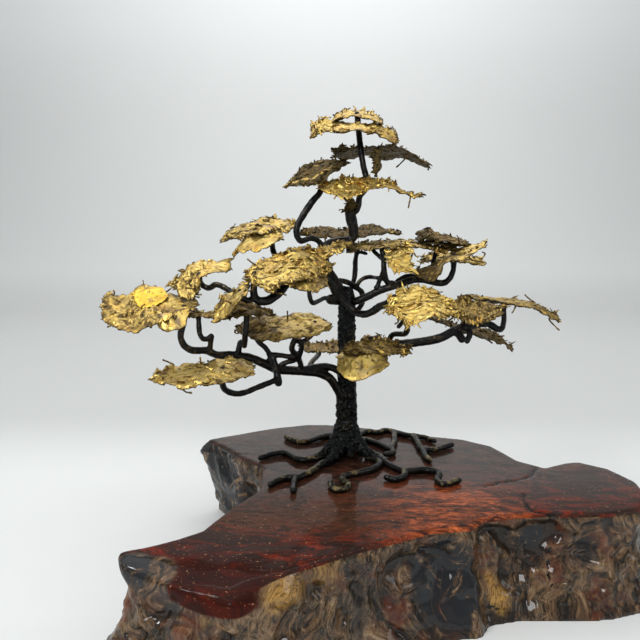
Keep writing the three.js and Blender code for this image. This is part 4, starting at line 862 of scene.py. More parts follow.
def looseFlakes(leaf, ground, random):
    # small torn scales that stand off the rough parts of a leaf, most of them along its ridges
    plan, rough = leafPlan, leaf["crinkle"]
    area = rough ** 2 * ground["length"] * ground["width"] * 0.8
    count = round(area / plan["flakeArea"] / (1))
    count = round(count * leaf.get("flakes", 0.4 if rough < 0.45 else 1.0))
    top, columns, rows = ground["top"], *ground["top"].shape[:2]
    across, down = 7, 3
    a, w = np.linspace(-1, 1, across), np.linspace(-1, 1, down)
    made = []
    for _ in range(count):
        i, j = random.randint(columns), random.randint(rows)
        if random.rand() < 0.45:  # many of them hang over a rim
            j = random.choice([0, 1, 2, rows - 3, rows - 2, rows - 1])
        if ground["calm"][i, j] < 0.25 and random.rand() < 0.8:
            continue
        tangentU, tangentV = (tangent[i, j] for tangent in ground["tangents"])
        up = ground["facing"][i, j]
        angle = leaf.get("lie", leaf["seed"] * 1.7) + random.normal(0, 0.25)
        if (j < 3 or j > rows - 4) and random.rand() < 0.5:
            angle = math.pi / 2 + random.normal(0, 0.5)
        long = math.cos(angle) * tangentU + math.sin(angle) * tangentV
        short = unit(np.cross(up, long))
        length = random.uniform(*plan["flakeLength"]) * (0.6 + 0.4 * rough)
        width = random.uniform(*plan["flakeWidth"])
        lift = random.uniform(0.1, 0.9)
        tilt = random.normal(0, plan["flakeTilt"])
        bend, bow = random.uniform(-0.5, 1.2), random.normal(0, 0.8)
        taper = np.sqrt(np.maximum(1 - np.abs(a) ** 2.2, 0.02))
        jag = 1 + 0.25 * random.normal(size=(across, down))
        spread = w * width / 2 * taper[:, None] * jag
        reach = (a * length / 2)[:, None] + 0.2 * random.normal(size=(across, down))
        height = lift + tilt * spread + bend * a[:, None] ** 2 + 0.12 * random.normal(size=(across, down))
        sheet = (top[i, j] + long * reach[..., None] + short * (spread + bow * a[:, None] ** 2)[..., None]
                 + up * height[..., None])
        half = plan["flakeThickness"] / 2 * up
        size = across * down
        points = np.vstack([(sheet + half).reshape(-1, 3), (sheet - half).reshape(-1, 3)])
        edge = np.tile(np.ravel(np.maximum(np.abs(a)[:, None] ** 3, np.abs(w)[None])), 2)
        # a flake's edges and its underside take painted shade through crease and under, along with soot
        made.append((points, sheetFaces((across, down)), {
            "tone": np.full(2 * size, ground["tone"][i, j] * random.uniform(0.5, 1.4)),
            "rim": edge * 0.55, "crease": np.tile(0.5 - 0.5 * edge[:size], 2) + 0.3 * random.normal(),
            "under": np.repeat([0.0, 1.0], size), "stain": np.zeros(2 * size)}))
    return made


def strayNeedles(leaf, ground, random):
    # whiskers that the torch drew from the rims
    top = ground["top"]
    made = []
    for _ in range(round(leaf["crinkle"] * 2 * ground["length"] / leafPlan["needleSpan"])):
        i, far = random.randint(1, len(top) - 1), random.rand() < 0.5
        start = top[i, -1 if far else 0]
        outward = unit(top[i, -1] - top[i, -3]) if far else unit(top[i, 0] - top[i, 2])
        sway = outward + 0.55 * random.normal(size=3)
        length = random.uniform(1.2, 3.4)
        bendTo = start + unit(sway) * length
        middle = (start + bendTo) / 2 + 0.4 * random.normal(size=3)
        made.append([tuple(start - outward * 0.8), tuple(middle), tuple(bendTo)])
    return made


def drawnWire(route, sizes, seed, sides=7):
    # a round wire through the points, with a melted bead on its far end
    steps = 4 * (len(route) - 1) + 5
    shares = np.linspace(0, 1, steps)
    centre = splinePoints(route, shares) if len(route) > 2 else (
        np.array(route[0]) + (np.array(route[-1]) - np.array(route[0])) * shares[:, None])
    radius = np.interp(shares, np.linspace(0, 1, len(sizes)), sizes)
    bead = 1 + 0.5 * np.exp(-((shares - 0.93) / 0.07) ** 2)
    radius = radius * bead * (1 + 0.18 * smoothNoise(centre, 1.5, seed))
    sway = np.stack([smoothNoise(centre, 3, seed + k) for k in (1, 2, 3)], 1)
    centre = centre + 0.25 * sway * shares[:, None]
    along = unit(np.gradient(centre, axis=0))
    side = unit(np.cross(along, offAxis))
    rings, faces, index, turn = tube(centre, radius, side, along, sides)
    points = np.vstack([rings, centre[:1] - along[:1] * 0.3 * radius[0],
                        centre[-1:] + along[-1:] * 0.6 * radius[-1]])
    faces += [[turn[0, k], index[0, k], steps * sides] for k in range(sides)]
    faces += [[index[-1, k], turn[-1, k], steps * sides + 1] for k in range(sides)]
    return points, faces


leafSkins = {}
lift = np.array([0, 0, slabTop])  # from the tables' heights over the slab to heights over the floor


def leafPiece(name, piece):
    points, faces, values, count = [], [], {}, 0
    lists, needles = [], []
    for leaf in piece["leaves"]:
        sheet, ground = tornLeaf(leaf)
        lists.append(sheet)
        random = np.random.RandomState(500 + leaf["seed"])
        lists += looseFlakes(leaf, ground, random)
        needles += strayNeedles(leaf, ground, random)
    skinPoints, skinFaces, start = [], [], 0
    for made, madeFaces, _ in lists[:1] + [one for one in lists[1:] if len(one[0]) > 100]:
        skinPoints += [Vector(point) for point in made + lift]
        skinFaces += [[index + start for index in face] for face in madeFaces]
        start += len(made)
    leafSkins[name] = BVHTree.FromPolygons(skinPoints, skinFaces)
    tone = np.mean([leaf["tone"] for leaf in piece["leaves"]])
    wires = [(route, (0.8, 0.65, 0.5)) for route in piece["wires"]] + piece.get("rods", [])
    joinedWires = []
    for route, sizes in wires:  # each whisker grows from the nearest bit of its sheet
        nearest = [(leafSkins[name].find_nearest(Vector(end + lift)), end) for end in (route[0], route[-1])]
        (place, _, _, gap), end = min(nearest, key=lambda found: found[0][3])
        root = tuple(np.array(place) - lift)
        if gap > 0.6 and end == route[0]:
            route = [root] + list(route)
        elif gap > 0.6:
            route = [root] + list(route)[::-1]
        if gap < 7:
            joinedWires.append((route, sizes))
    wires = joinedWires + [(route, (0.55, 0.42, 0.36)) for route in needles]
    for number, (route, sizes) in enumerate(wires):
        made, madeFaces = drawnWire(route, sizes, number + 1)
        blank = np.zeros(len(made))
        lists.append((made, madeFaces, {
            "tone": blank + 0.35 + 0.5 * tone, "rim": blank + 0.4, "crease": smoothNoise(made, 2, 9),
            "under": blank + (0.6 if sizes[0] > 1 else 0), "stain": blank}))
    for made, madeFaces, column in lists:
        points.append(made)
        faces += [[i + count for i in face] for face in madeFaces]
        count += len(made)
        for key, value in column.items():
            values.setdefault(key, []).append(value)
    points = np.vstack(points) + lift
    return meshObject(name + "_torn", points, faces, {k: np.concatenate(v) for k, v in values.items()})


for name, piece in foliagePieces.items():
    slotName = next(s["material_slot"] for s in frame["record"]["subparts"] if s["node"] == name)
    material = tornBrass if slotName == "torn_brass" else sootyBrass
    finishPiece(leafPiece(name, piece), name, slotName, material)
print("foliage made")

# Bent rods: round bars through the routes of the solids, hammered, with beads of braze wherever
# two pieces meet. Each rod has its route, its diameters from start to end in mm, and the leaves
# that its end carries.

limbPieces = {
    "limb_leader": [
        ([(-1, 0, 137), (-8, -2, 147), (-15, -6, 158), (-19, -8, 165), (-20, -4, 179), (-15, -3, 184),
          (-8, -2, 186), (0, 0, 187)],
         [11.1, 10.5, 9.3, 7.6], []),
        ([(-8, -2, 186), (0, 0, 187), (5, 0, 190), (5, 0, 198), (3, 0, 206), (2, 0, 214), (3, 0, 219)],
         [7.6, 7.6, 9.9, 7.6], []),
        ([(3, -1, 209), (8, -3, 213), (10, -5, 224), (14, -4, 229), (16, -2, 237), (14, 0, 245),
          (12, 1, 255), (10, 3, 270), (8, 8, 292)],
         [5.2], ["foliage_crown"]),
    ],
    "limb_top_left": [
        ([(-19, -4, 179), (-22, -5, 184), (-26, -7, 188), (-31, -9, 189), (-39, -11, 187),
          (-42, -12, 191), (-42, -11, 198), (-37, -8, 208), (-28, -5, 221), (-23, -3, 227),
          (-21, -1, 236), (-21, 0, 248)],
         [4.8, 4.8, 6, 4.4], ["foliage_top_left"]),
    ],
    "limb_middle_left": [
        ([(-12, -5, 153), (-18, -12, 157), (-26, -19, 160), (-34, -26, 161), (-41, -32, 160),
          (-47, -38, 156), (-52, -42, 150), (-57, -45, 145), (-64, -48, 141), (-71, -49, 141),
          (-74, -50, 145), (-74, -50, 151), (-73, -50, 168)],
         [6.2, 6.2, 7.4, 4.8], ["foliage_left_front"]),
        ([(-73, -50, 143), (-80, -54, 142), (-85, -57, 151)],
         [4.8], ["foliage_left_drop"]),
        ([(-44, -35, 158), (-45, -40, 165), (-44, -42, 177)],
         [4.8], ["foliage_left_front"]),
        ([(-52, -41, 150), (-54, -32, 158), (-58, -22, 167), (-60, -15, 175), (-62, -12, 180),
          (-64, -9, 199)],
         [4.8], ["foliage_upper_left"]),
    ],
    "twig_left": [
        ([(-82, -54, 143), (-91, -48, 147), (-100, -44, 152), (-105, -42, 153), (-111, -39, 150),
          (-118, -36, 154), (-119, -34, 167)],
         [4.8], ["foliage_left_bend"]),
    ],
    "limb_front": [
        ([(-25, -33, 179), (-24, -28, 167), (-20, -21, 158), (-14, -15, 151), (-10, -12, 144),
          (-4, -11, 138), (2, -11, 132), (7, -13, 128), (13, -20, 127), (19, -29, 130), (24, -38, 135),
          (30, -48, 139), (38, -56, 147)],
         [6.2], ["foliage_left_front", "foliage_front"]),
        ([(-1, 0, 134), (-9, -10, 137), (-14, -18, 139)],
         [4.8, 9], []),
        ([(-9, -12, 138), (-19, -28, 141), (-24, -40, 140), (-29, -54, 140), (-31, -58, 146),
          (-31, -60, 168)],
         [3.8], ["foliage_left_front"]),
    ],
    "limb_arch": [
        ([(-10, -4, 153), (-4, 2, 153), (2, 6, 151), (8, 8, 147), (13, 9, 143), (14, 8, 138),
          (12, 4, 131), (2, 0, 122)],
         [4.8], []),
        ([(8, 8, 147), (12, 9, 153), (18, 7, 156), (23, 3, 156), (26, -6, 156)],
         [3.8], []),
    ],
    "limb_back": [
        ([(1, 4, 136), (4, 15, 145), (7, 21, 153), (8, 22, 162), (8, 19, 170), (9, 15, 177),
          (9, 12, 188)],
         [3.8, 4.8, 3.8], ["foliage_centre_right"]),
        ([(1, 17, 179), (9, 16, 178), (17, 14, 176)],
         [3.2], []),
    ],
    "limb_lower_left": [
        ([(-1, -3, 49), (-8, -5, 60), (-14, -8, 70), (-22, -10, 75), (-36, -15, 78), (-49, -20, 80),
          (-59, -25, 82), (-66, -28, 86), (-79, -35, 93), (-94, -43, 97), (-104, -48, 98),
          (-111, -52, 102), (-123, -58, 104), (-128, -60, 109), (-129, -62, 116), (-127, -62, 124),
          (-126, -61, 131), (-127, -60, 143)],
         [7.6, 7.6, 7.6, 6.2, 5.2, 4.8], ["foliage_far_left"]),
        ([(-1, -5, 71), (-9, -8, 78), (-18, -9, 81), (-41, -17, 79)],
         [6.2], []),
        ([(-61, -28, 91), (-59, -29, 84), (-58, -30, 78), (-57, -31, 72)],
         [4.8, 6.8], []),
        ([(-57, -31, 75), (-70, -43, 72), (-84, -60, 70), (-90, -67, 72), (-94, -71, 75),
          (-96, -74, 80), (-96, -75, 98)],
         [4.8], ["foliage_low_left"]),
        ([(-117, -53, 135), (-115, -57, 115), (-113, -56, 112), (-110, -55, 112), (-107, -54, 114),
          (-108, -53, 109), (-109, -51, 101)],
         [4.2], ["foliage_left_drop"]),
        ([(-79, -54, 139), (-80, -55, 121), (-81, -54, 114), (-82, -51, 106)],
         [4.8], ["foliage_left_drop"]),
        ([(-82, -52, 109), (-85, -49, 108), (-87, -45, 103), (-88, -40, 97)],
         [4.8], []),
        ([(-76, -33, 122), (-74, -32, 108), (-67, -30, 100), (-64, -28, 94), (-65, -27, 86)],
         [4.4], ["foliage_lower_left"]),
        ([(-65, -28, 95), (-57, -27, 94), (-45, -25, 92)],
         [4.4], []),
        ([(-41, -31, 124), (-42, -30, 111), (-45, -29, 104), (-46, -27, 99), (-41, -22, 91),
          (-38, -17, 80)],
         [4.8], ["foliage_lower_left"]),
        ([(-42, -30, 109), (-38, -27, 103), (-39, -24, 96), (-42, -22, 90), (-52, -24, 87),
          (-59, -25, 83)],
         [4.4], []),
        ([(-40, -28, 105), (-34, -27, 107), (-28, -26, 113), (-27, -26, 126)],
         [3.8], ["foliage_lower_left"]),
        ([(-33, -14, 80), (-30, -5, 84), (-24, 15, 88), (-22, 22, 97)],
         [4.4], ["foliage_trunk_back"]),
    ],
    "limb_lower_right": [
        ([(-1, 0, 90), (8, 0, 95), (18, 0, 96), (39, -4, 99), (56, -7, 101), (78, -12, 106),
          (92, -14, 114), (99, -14, 116), (118, -12, 118), (125, -11, 114), (130, -9, 113),
          (132, -8, 118), (132, -8, 128), (131, -8, 141)],
         [7.6, 7.6, 7.6, 6.2, 4.8, 4.2], ["foliage_far_right"]),
        ([(90, -14, 113), (93, -16, 109), (95, -18, 106)],
         [6.2, 6.8], []),
        ([(99, -14, 116), (102, -16, 111), (100, -16, 104)],
         [4.8], []),
        ([(94, -14, 115), (97, -22, 122), (99, -34, 142)],
         [4.8], ["foliage_right_ridged"]),
        ([(20, -1, 96), (20, -6, 99), (20, -10, 108)],
         [4.8], ["foliage_trunk_front"]),
    ],
    "twig_front": [
        ([(43, -53, 153), (42, -50, 134), (46, -38, 123), (48, -30, 117), (47, -22, 111),
          (43, -16, 110), (38, -9, 108), (35, -4, 100)],
         [4.8], ["foliage_front"]),
        ([(45, -40, 125), (42, -42, 123), (39, -44, 120)],
         [3.8], []),
    ],
    "limb_middle_right": [
        ([(0, 0, 128), (4, -4, 135), (9, -6, 137), (16, -7, 140), (28, -9, 146), (44, -9, 151),
          (58, -9, 155), (80, -9, 152), (85, -8, 155), (88, -8, 161), (89, -8, 168), (89, -8, 180)],
         [6.2, 6.8, 6.2, 4.8, 4.4], ["foliage_right_slant"]),
        ([(36, -7, 148), (44, -4, 154), (50, -3, 157), (56, -4, 157), (63, -8, 155)],
         [4.8], []),
        ([(73, -8, 153), (73, 5, 161), (75, 11, 169), (77, 13, 177), (78, 12, 190)],
         [3.8], ["foliage_right_dark"]),
        ([(88, -8, 165), (90, 4, 167), (92, 15, 177)],
         [3.2], ["foliage_right_back"]),
    ],
    "twig_right": [
        ([(38, -8, 150), (33, -9, 153), (31, -11, 159), (30, -12, 165), (30, -10, 172), (29, -8, 178),
          (29, -6, 189)],
         [4.8], ["foliage_centre_right"]),
        ([(24, -8, 144), (26, -9, 152), (28, -10, 158), (30, -12, 164)],
         [3.8], []),
        ([(29, -9, 172), (26, 0, 175), (23, 8, 179), (22, 11, 190)],
         [3.8], ["foliage_centre_right"]),
    ],
}
rootPieces = {
    "root_left": [
        [(-17, -8), (-31, -19), (-40, -20), (-47, -11), (-53, -2), (-62, -3), (-74, -15)],
    ],
    "root_front_left": [
        [(-12, -20), (-22, -31), (-29, -46), (-37, -57), (-42, -63), (-43, -74), (-43, -87)],
        [(-41, -61), (-49, -61), (-56, -67), (-61, -75)],
    ],
    "root_front": [
        [(18, -14), (27, -24), (21, -41), (12, -48), (-4, -58), (-5, -66), (-1, -75), (-6, -85),
         (-13, -84), (-15, -71)],
    ],
    "root_right": [
        [(18, -11), (27, -15), (32, -26), (38, -39), (45, -46), (62, -44), (70, -47), (72, -54),
         (68, -65), (71, -74), (85, -66)],
        [(45, -46), (44, -57), (36, -64), (29, -61)],
    ],
    "root_back_right": [
        [(9, 29), (15, 50), (24, 61), (33, 58), (41, 65), (58, 51), (67, 46), (76, 42), (83, 31)],
        [(49, 59), (46, 31), (41, 10), (41, -2), (34, -7)],
        [(66, 46), (67, 28), (69, 7), (79, 7), (97, 20)],
        [(69, 9), (68, -9), (70, -21)],
    ],
    "root_inner_right": [
        [(14, 22), (19, 36), (27, 28), (35, 16), (41, 4)],
    ],
    "root_back_left": [
        [(-9, 29), (-12, 48), (-22, 41), (-32, 32), (-41, 29), (-49, 35), (-55, 44)],
    ],
}

rodPlan = {
    "pitch": 0.74,  # facet size
    "smoothing": 3,
    "step": 1.1,  # along a bar, before it is remeshed
    "swell": 0.02,  # gives back what rounding takes off
    "hammer": 0.26, "hammerSize": 4.2,
    "dimple": 0.1, "dimpleSize": 1.6,
    "meeting": 0.5,  # solids nearer than this were brazed
    "meetingSpread": 9.0,
    "bead": 2.5, "junction": 3.3,
    "rootSizes": [6.2, 5.4, 4.8], "rootLift": 0.9,
}

solidShapes = {}
for name, node in nodes.items():
    points = meshPoints(node.data)
    skin = BVHTree.FromPolygons([Vector(p) for p in points], [f.vertices[:] for f in node.data.polygons])
    solidShapes[name] = (points, skin, points.min(0) - 1, points.max(0) + 1)


def meetings(name, others):
    # the middle of each place where this node nearly touches one of the others
    points, _, low, high = solidShapes[name]
    found = []
    for other in others:
        _, skin, otherLow, otherHigh = solidShapes[other]
        if other == name or (high < otherLow).any() or (otherHigh < low).any():
            continue
        near = [p for p in points if skin.find_nearest(Vector(p), rodPlan["meeting"])[0] is not None]
        while near:
            reach = np.linalg.norm(np.array(near) - near[0], axis=1) < rodPlan["meetingSpread"]
            cluster = [p for p, close in zip(near, reach) if close]
            near = [p for p, close in zip(near, reach) if not close]
            if len(cluster) > 1:
                found.append((other, np.mean(cluster, axis=0)))
    return found


def addBall(parts, centre, radius, squash=1.0):
    made = bmesh.ops.create_icosphere(parts, subdivisions=2, radius=radius * mm)["verts"]
    for vertex in made:
        vertex.co = Vector((vertex.co.x, vertex.co.y, vertex.co.z * squash)) + Vector(centre) * mm


def addShape(parts, points, faces):
    made = [parts.verts.new(point * mm) for point in points]
    for face in faces:
        parts.faces.new([made[index] for index in face])


def barShape(centre, radius, sides=14):
    # a closed round bar through the points, with rounded ends
    along = unit(np.gradient(centre, axis=0))
    caps = np.array([0.95, 0.8, 0.5])
    start = centre[0] - along[0] * radius[0] * caps[:, None]
    end = centre[-1] + along[-1] * radius[-1] * caps[::-1, None]
    shrink = np.sqrt(1 - caps ** 2)
    centre = np.vstack([start, centre, end])
    along = np.vstack([along[:1].repeat(3, 0), along, along[-1:].repeat(3, 0)])
    radius = np.concatenate([radius[0] * shrink, radius, radius[-1] * shrink[::-1]])
    side, sidesAlong = offAxis, []
    for tangent in along:  # carried along without twisting
        side = unit(side - tangent * (side @ tangent))
        sidesAlong.append(side)
    rings, faces, index, _ = tube(centre, radius, np.array(sidesAlong), along, sides)
    return rings, faces + [index[0, ::-1].tolist(), index[-1].tolist()]


def bentBar(parts, route, sizes, leaves=()):
    length = np.linalg.norm(np.diff(np.array(route, float), axis=0), axis=1).sum()
    steps = max(12, round(length / rodPlan["step"]))
    shares = np.linspace(0, 1, steps)
    centre = splinePoints(route, shares) + lift
    sizes = sizes if len(sizes) > 1 else sizes * 2
    radius = np.interp(shares, np.linspace(0, 1, len(sizes)), sizes) / 2
    cuts = [0, steps]
    for leaf in leaves:  # the bar stops inside the leaf that it carries
        for k in range(steps - 1):
            way = Vector(centre[k + 1] - centre[k])
            if leafSkins[leaf].ray_cast(Vector(centre[k]), way.normalized(), way.length)[0] is not None:
                cuts.append(k + 1)
    cuts = sorted(set(cuts))
    longest = int(np.argmax(np.diff(cuts)))
    part = slice(cuts[longest], cuts[longest + 1] + 1)
    addShape(parts, *barShape(centre[part], radius[part] + 0.12 * smoothNoise(centre[part], 6, 2)))


ironNames = [n for n in nodes if n == "trunk" or n in limbPieces or n in rootPieces]
leafNames = list(foliagePieces)


def ironPiece(name, material):
    parts = bmesh.new()
    for route, sizes, leaves in limbPieces.get(name, []):
        bentBar(parts, route, sizes, leaves)
    for plan in rootPieces.get(name, []):
        spread = splinePoints([(x, y, 0) for x, y in plan], np.linspace(0, 1, 3 * len(plan)))
        arching = rodPlan["rootLift"] * np.maximum(smoothNoise(spread, 17, 8), 0) * ease(
            np.hypot(spread[:, 0], spread[:, 1]), 25, 40)
        spread[:, 2] = arching + rodPlan["rootSizes"][1] / 2 - 0.15
        bentBar(parts, spread, rodPlan["rootSizes"])
    for other, centre in meetings(name, ironNames + leafNames):
        if other in leafNames:
            addBall(parts, centre - np.array([0, 0, 0.9]), rodPlan["bead"], 0.8)
        elif name in limbPieces:
            addBall(parts, centre, rodPlan["junction"], 0.9)
    piece = remeshed(name + "_forged", parts, rodPlan["pitch"], rodPlan["smoothing"])
    points, normals = meshPoints(piece.data), meshNormals(piece.data)
    hammerMarks = smoothNoise(points, rodPlan["hammerSize"], 3)
    dimples = smoothNoise(points, rodPlan["dimpleSize"], 5)
    rise = rodPlan["swell"] + rodPlan["hammer"] * hammerMarks + rodPlan["dimple"] * dimples
    points += normals * rise[:, None]
    points[:, 2] = np.maximum(points[:, 2], slabTop + 0.02)
    movePoints(piece.data, points)
    # proud counts the hammer marks and how far a face turns up, so the rubbed brass lands on the tops as
    # wear and painted highlight
    paintValues(piece, {"proud": ease(hammerMarks + 0.5 * normals[:, 2], -0.5, 0.9)})
    return finishPiece(piece, name, "blackened_metal", material)


# Trunk: drips of braze run down its whole length, and it spreads into the roots' legs

trunkPlan = {
    "pitch": 0.74, "smoothing": 6,
    # height above the slab and radius in mm
    "profile": [(0.3, 6.5), (7, 7.0), (12, 8.6), (18, 9.3), (26, 9.0), (36, 8.5), (48, 8.2), (60, 7.8),
                (74, 7.3), (92, 7.0), (116, 6.8), (138, 6.6), (144, 4.4)],
    "legs": [
        [(-1, 0, 25), (-6, -3, 15), (-13, -6, 9), (-21, -11, 4), (-31, -19, 2)],
        [(-1, -2, 25), (-4, -7, 15), (-8, -14, 8), (-14, -24, 4), (-22, -31, 2)],
        [(1, -1, 25), (6, -6, 15), (13, -10, 9), (22, -15, 4.5), (30, -22, 2)],
        [(1, 2, 20), (3, 9, 12), (6, 19, 7), (10, 32, 3.4), (12, 41, 2)],
        [(1, 1, 18), (5, 7, 12), (10, 14, 7), (15, 25, 3.4), (18, 34, 2)],
        [(-1, 2, 20), (-3, 9, 12), (-6, 19, 7), (-10, 31, 3.4), (-12, 44, 2)],
        [(0, -2, 24), (1, -7, 15), (2, -12, 9), (3, -16, 6)],
        [(-1, -2, 22), (-3, -8, 14), (-6, -13, 8.5), (-9, -17, 6)],
        [(1, -2, 22), (5, -6, 14), (9, -10, 8.5), (13, -13, 6)],
    ],
    "legSizes": [18, 15, 10.5, 7, 4.6],
    "drip": 1.5, "dripSize": 4.0, "dripLength": 1.7,
    "knob": 0.95, "knobSize": 1.9, "swell": 0.3,
}


def trunkPiece():
    parts = bmesh.new()
    heights, radii = np.array(trunkPlan["profile"]).T
    levels = np.linspace(heights[0], heights[-1], 90)
    stem = np.column_stack([levels * 0, levels * 0, levels + slabTop])
    radius = np.interp(levels, heights, radii)
    addShape(parts, *barShape(stem, radius, 24))
    for leg in trunkPlan["legs"]:
        bentBar(parts, leg, trunkPlan["legSizes"])
    piece = remeshed("trunk_brazed", parts, trunkPlan["pitch"], trunkPlan["smoothing"])
    points, normals = meshPoints(piece.data), meshNormals(piece.data)
    flow = points / np.array([1, 1, trunkPlan["dripLength"]])
    drips = ridgeNoise(flow, trunkPlan["dripSize"], 21)
    knobs = smoothNoise(points, trunkPlan["knobSize"], 23)
    rise = trunkPlan["swell"] + trunkPlan["drip"] * (drips - 0.25) * 0.6 + trunkPlan["knob"] * knobs
    points += normals * rise[:, None]
    points[:, 2] = np.maximum(points[:, 2], slabTop + 0.02)
    movePoints(piece.data, points)
    paintValues(piece, {"proud": ease(drips + knobs, -0.6, 1.4)})
    return finishPiece(piece, "trunk", "blackened_metal", trunkIron)


trunkPiece()
for name in rootPieces:
    ironPiece(name, rootIron)
for name in limbPieces:
    ironPiece(name, rodIron)
print("trunk, roots and limbs made")

# Burl slab: a polished top over a gnarled live edge under the same lacquer

slabPlan = {
    "pitch": 1.8,
    "drift": 19.0, "driftSize": 30.0,  # how the grain wanders
    "fineDrift": 4.0, "fineDriftSize": 9.0,
    "gnarl": 4.2, "gnarlSize": 34.0,
    "fold": 4.2, "foldSize": 24.0,
    "ply": 1.0, "plySize": 12.0,
    "knurl": 0.25, "knurlSize": 4.0,
    "blackCalm": 0.45,  # the black faces are the flatter ones
    "crackWidth": 1.1, "crackDepth": 1.6,
    # where the polished top rolls over its edge: x, y, reach and drop in mm
    "rollReach": 13.0,
    "rolls": [(-92, -203, 22, 4.5), (-70, -211, 16, 3.0), (-122, -194, 14, 3.5), (-30, -190, 20, 0.6)],
    "bare": [(-131, -187, 10), (-121, -195, 14)],  # where the roll has lost its red: x, y, reach
    "tip": (-142, -180, 15, 7.0),  # the sharp left corner: x, y, reach and how far it juts
    "wave": 0.22,  # unevenness of the polished top
    "rounding": 38,
}
# lumps and hollows of the live edge: x, y, z, reach and height in mm, and how golden (-1 is black)
slabFeatures = [
    (-47, -201, 58, 13, 4.5, 1.0),
    (-113, -200, 60, 16, -2.5, -0.2),
    (56, -146, 44, 26, -1.5, -0.9),
    (66, -149, 20, 22, -1.0, -0.8),
    (90, -132, 62, 7, -4.0, -0.3),
    (95, -134, 18, 10, 1.5, 1.0),
    (101, -133, 8, 8, 1.0, 0.8),
    (124, -122, 52, 9, -2.0, -1.0),
    (-72, -213, 66, 12, 2.0, 0.1),
    (-133, 42, 56, 15, 9.0, -0.5),
    (-131, 34, 34, 15, 5.0, -0.4),
    (-118, 25, 42, 38, 0.0, -1.3),
    (-131, -187, 68, 9, 0.0, -1.3),
    (-148, -192, 22, 16, 6.0, 0.1),
    (-142, -188, 44, 10, 3.0, 0.2),
    (-86, -208, 50, 10, 2.0, 0.7),
    (87, -134, 42, 6, 0.0, 0.6),
    (91, -134, 31, 6, 0.5, 0.7),
    (-20, -186, 62, 16, 0.0, 0.55),
    (10, -172, 30, 20, 1.5, 0.35),
    (160, -124, 45, 22, -1.0, -0.5),
]

# seams and drying cracks, as paths in mm
slabCracks = [
    [(128, -87, 70), (125, -101, 70), (125, -116, 70), (142, -124, 69)],
    [(103, -73, 70), (117, -65, 70), (130, -60, 70), (144, -53, 70), (158, -30, 70)],
    [(136, -124, 70), (138, -124, 48), (135, -125, 30), (138, -128, 8)],
    [(88, -133, 69), (91, -134, 50), (89, -136, 32), (92, -139, 10)],
    [(-101, 3, 70), (-88, 2, 70)],
    [(62, -146, 3), (80, -142, 6), (92, -139, 12), (102, -136, 8)],
    [(-60, -214, 60), (-66, -216, 42), (-58, -217, 24), (-64, -219, 6)],
]


def crackShare(points):
    # 1 in a crack, 0 away from it
    wobbly = points + 1.6 * np.stack([smoothNoise(points, 5, k) for k in (51, 52, 53)], axis=1)
    nearest = np.full(len(points), 99.0)
    for path in slabCracks:
        for start, end in zip(np.array(path[:-1], float), np.array(path[1:], float)):
            way = end - start
            share = np.clip((wobbly - start) @ way / (way @ way), 0, 1)
            nearest = np.minimum(nearest, np.linalg.norm(wobbly - start - share[:, None] * way, axis=1))
    return np.exp(-(nearest / slabPlan["crackWidth"]) ** 2)


def relaxed(mesh, points, weight, rounds):
    # rounds off the form where the weight is 1
    pairs = np.zeros(len(mesh.edges) * 2, int)
    mesh.edges.foreach_get("vertices", pairs)
    first, second = pairs.reshape(-1, 2).T
    count = np.bincount(pairs, minlength=len(points))[:, None]
    for _ in range(rounds):
        total = np.column_stack([
            np.bincount(first, points[second, axis], len(points))
            + np.bincount(second, points[first, axis], len(points)) for axis in range(3)])
        points = points + 0.5 * weight[:, None] * (total / count - points)
    return points


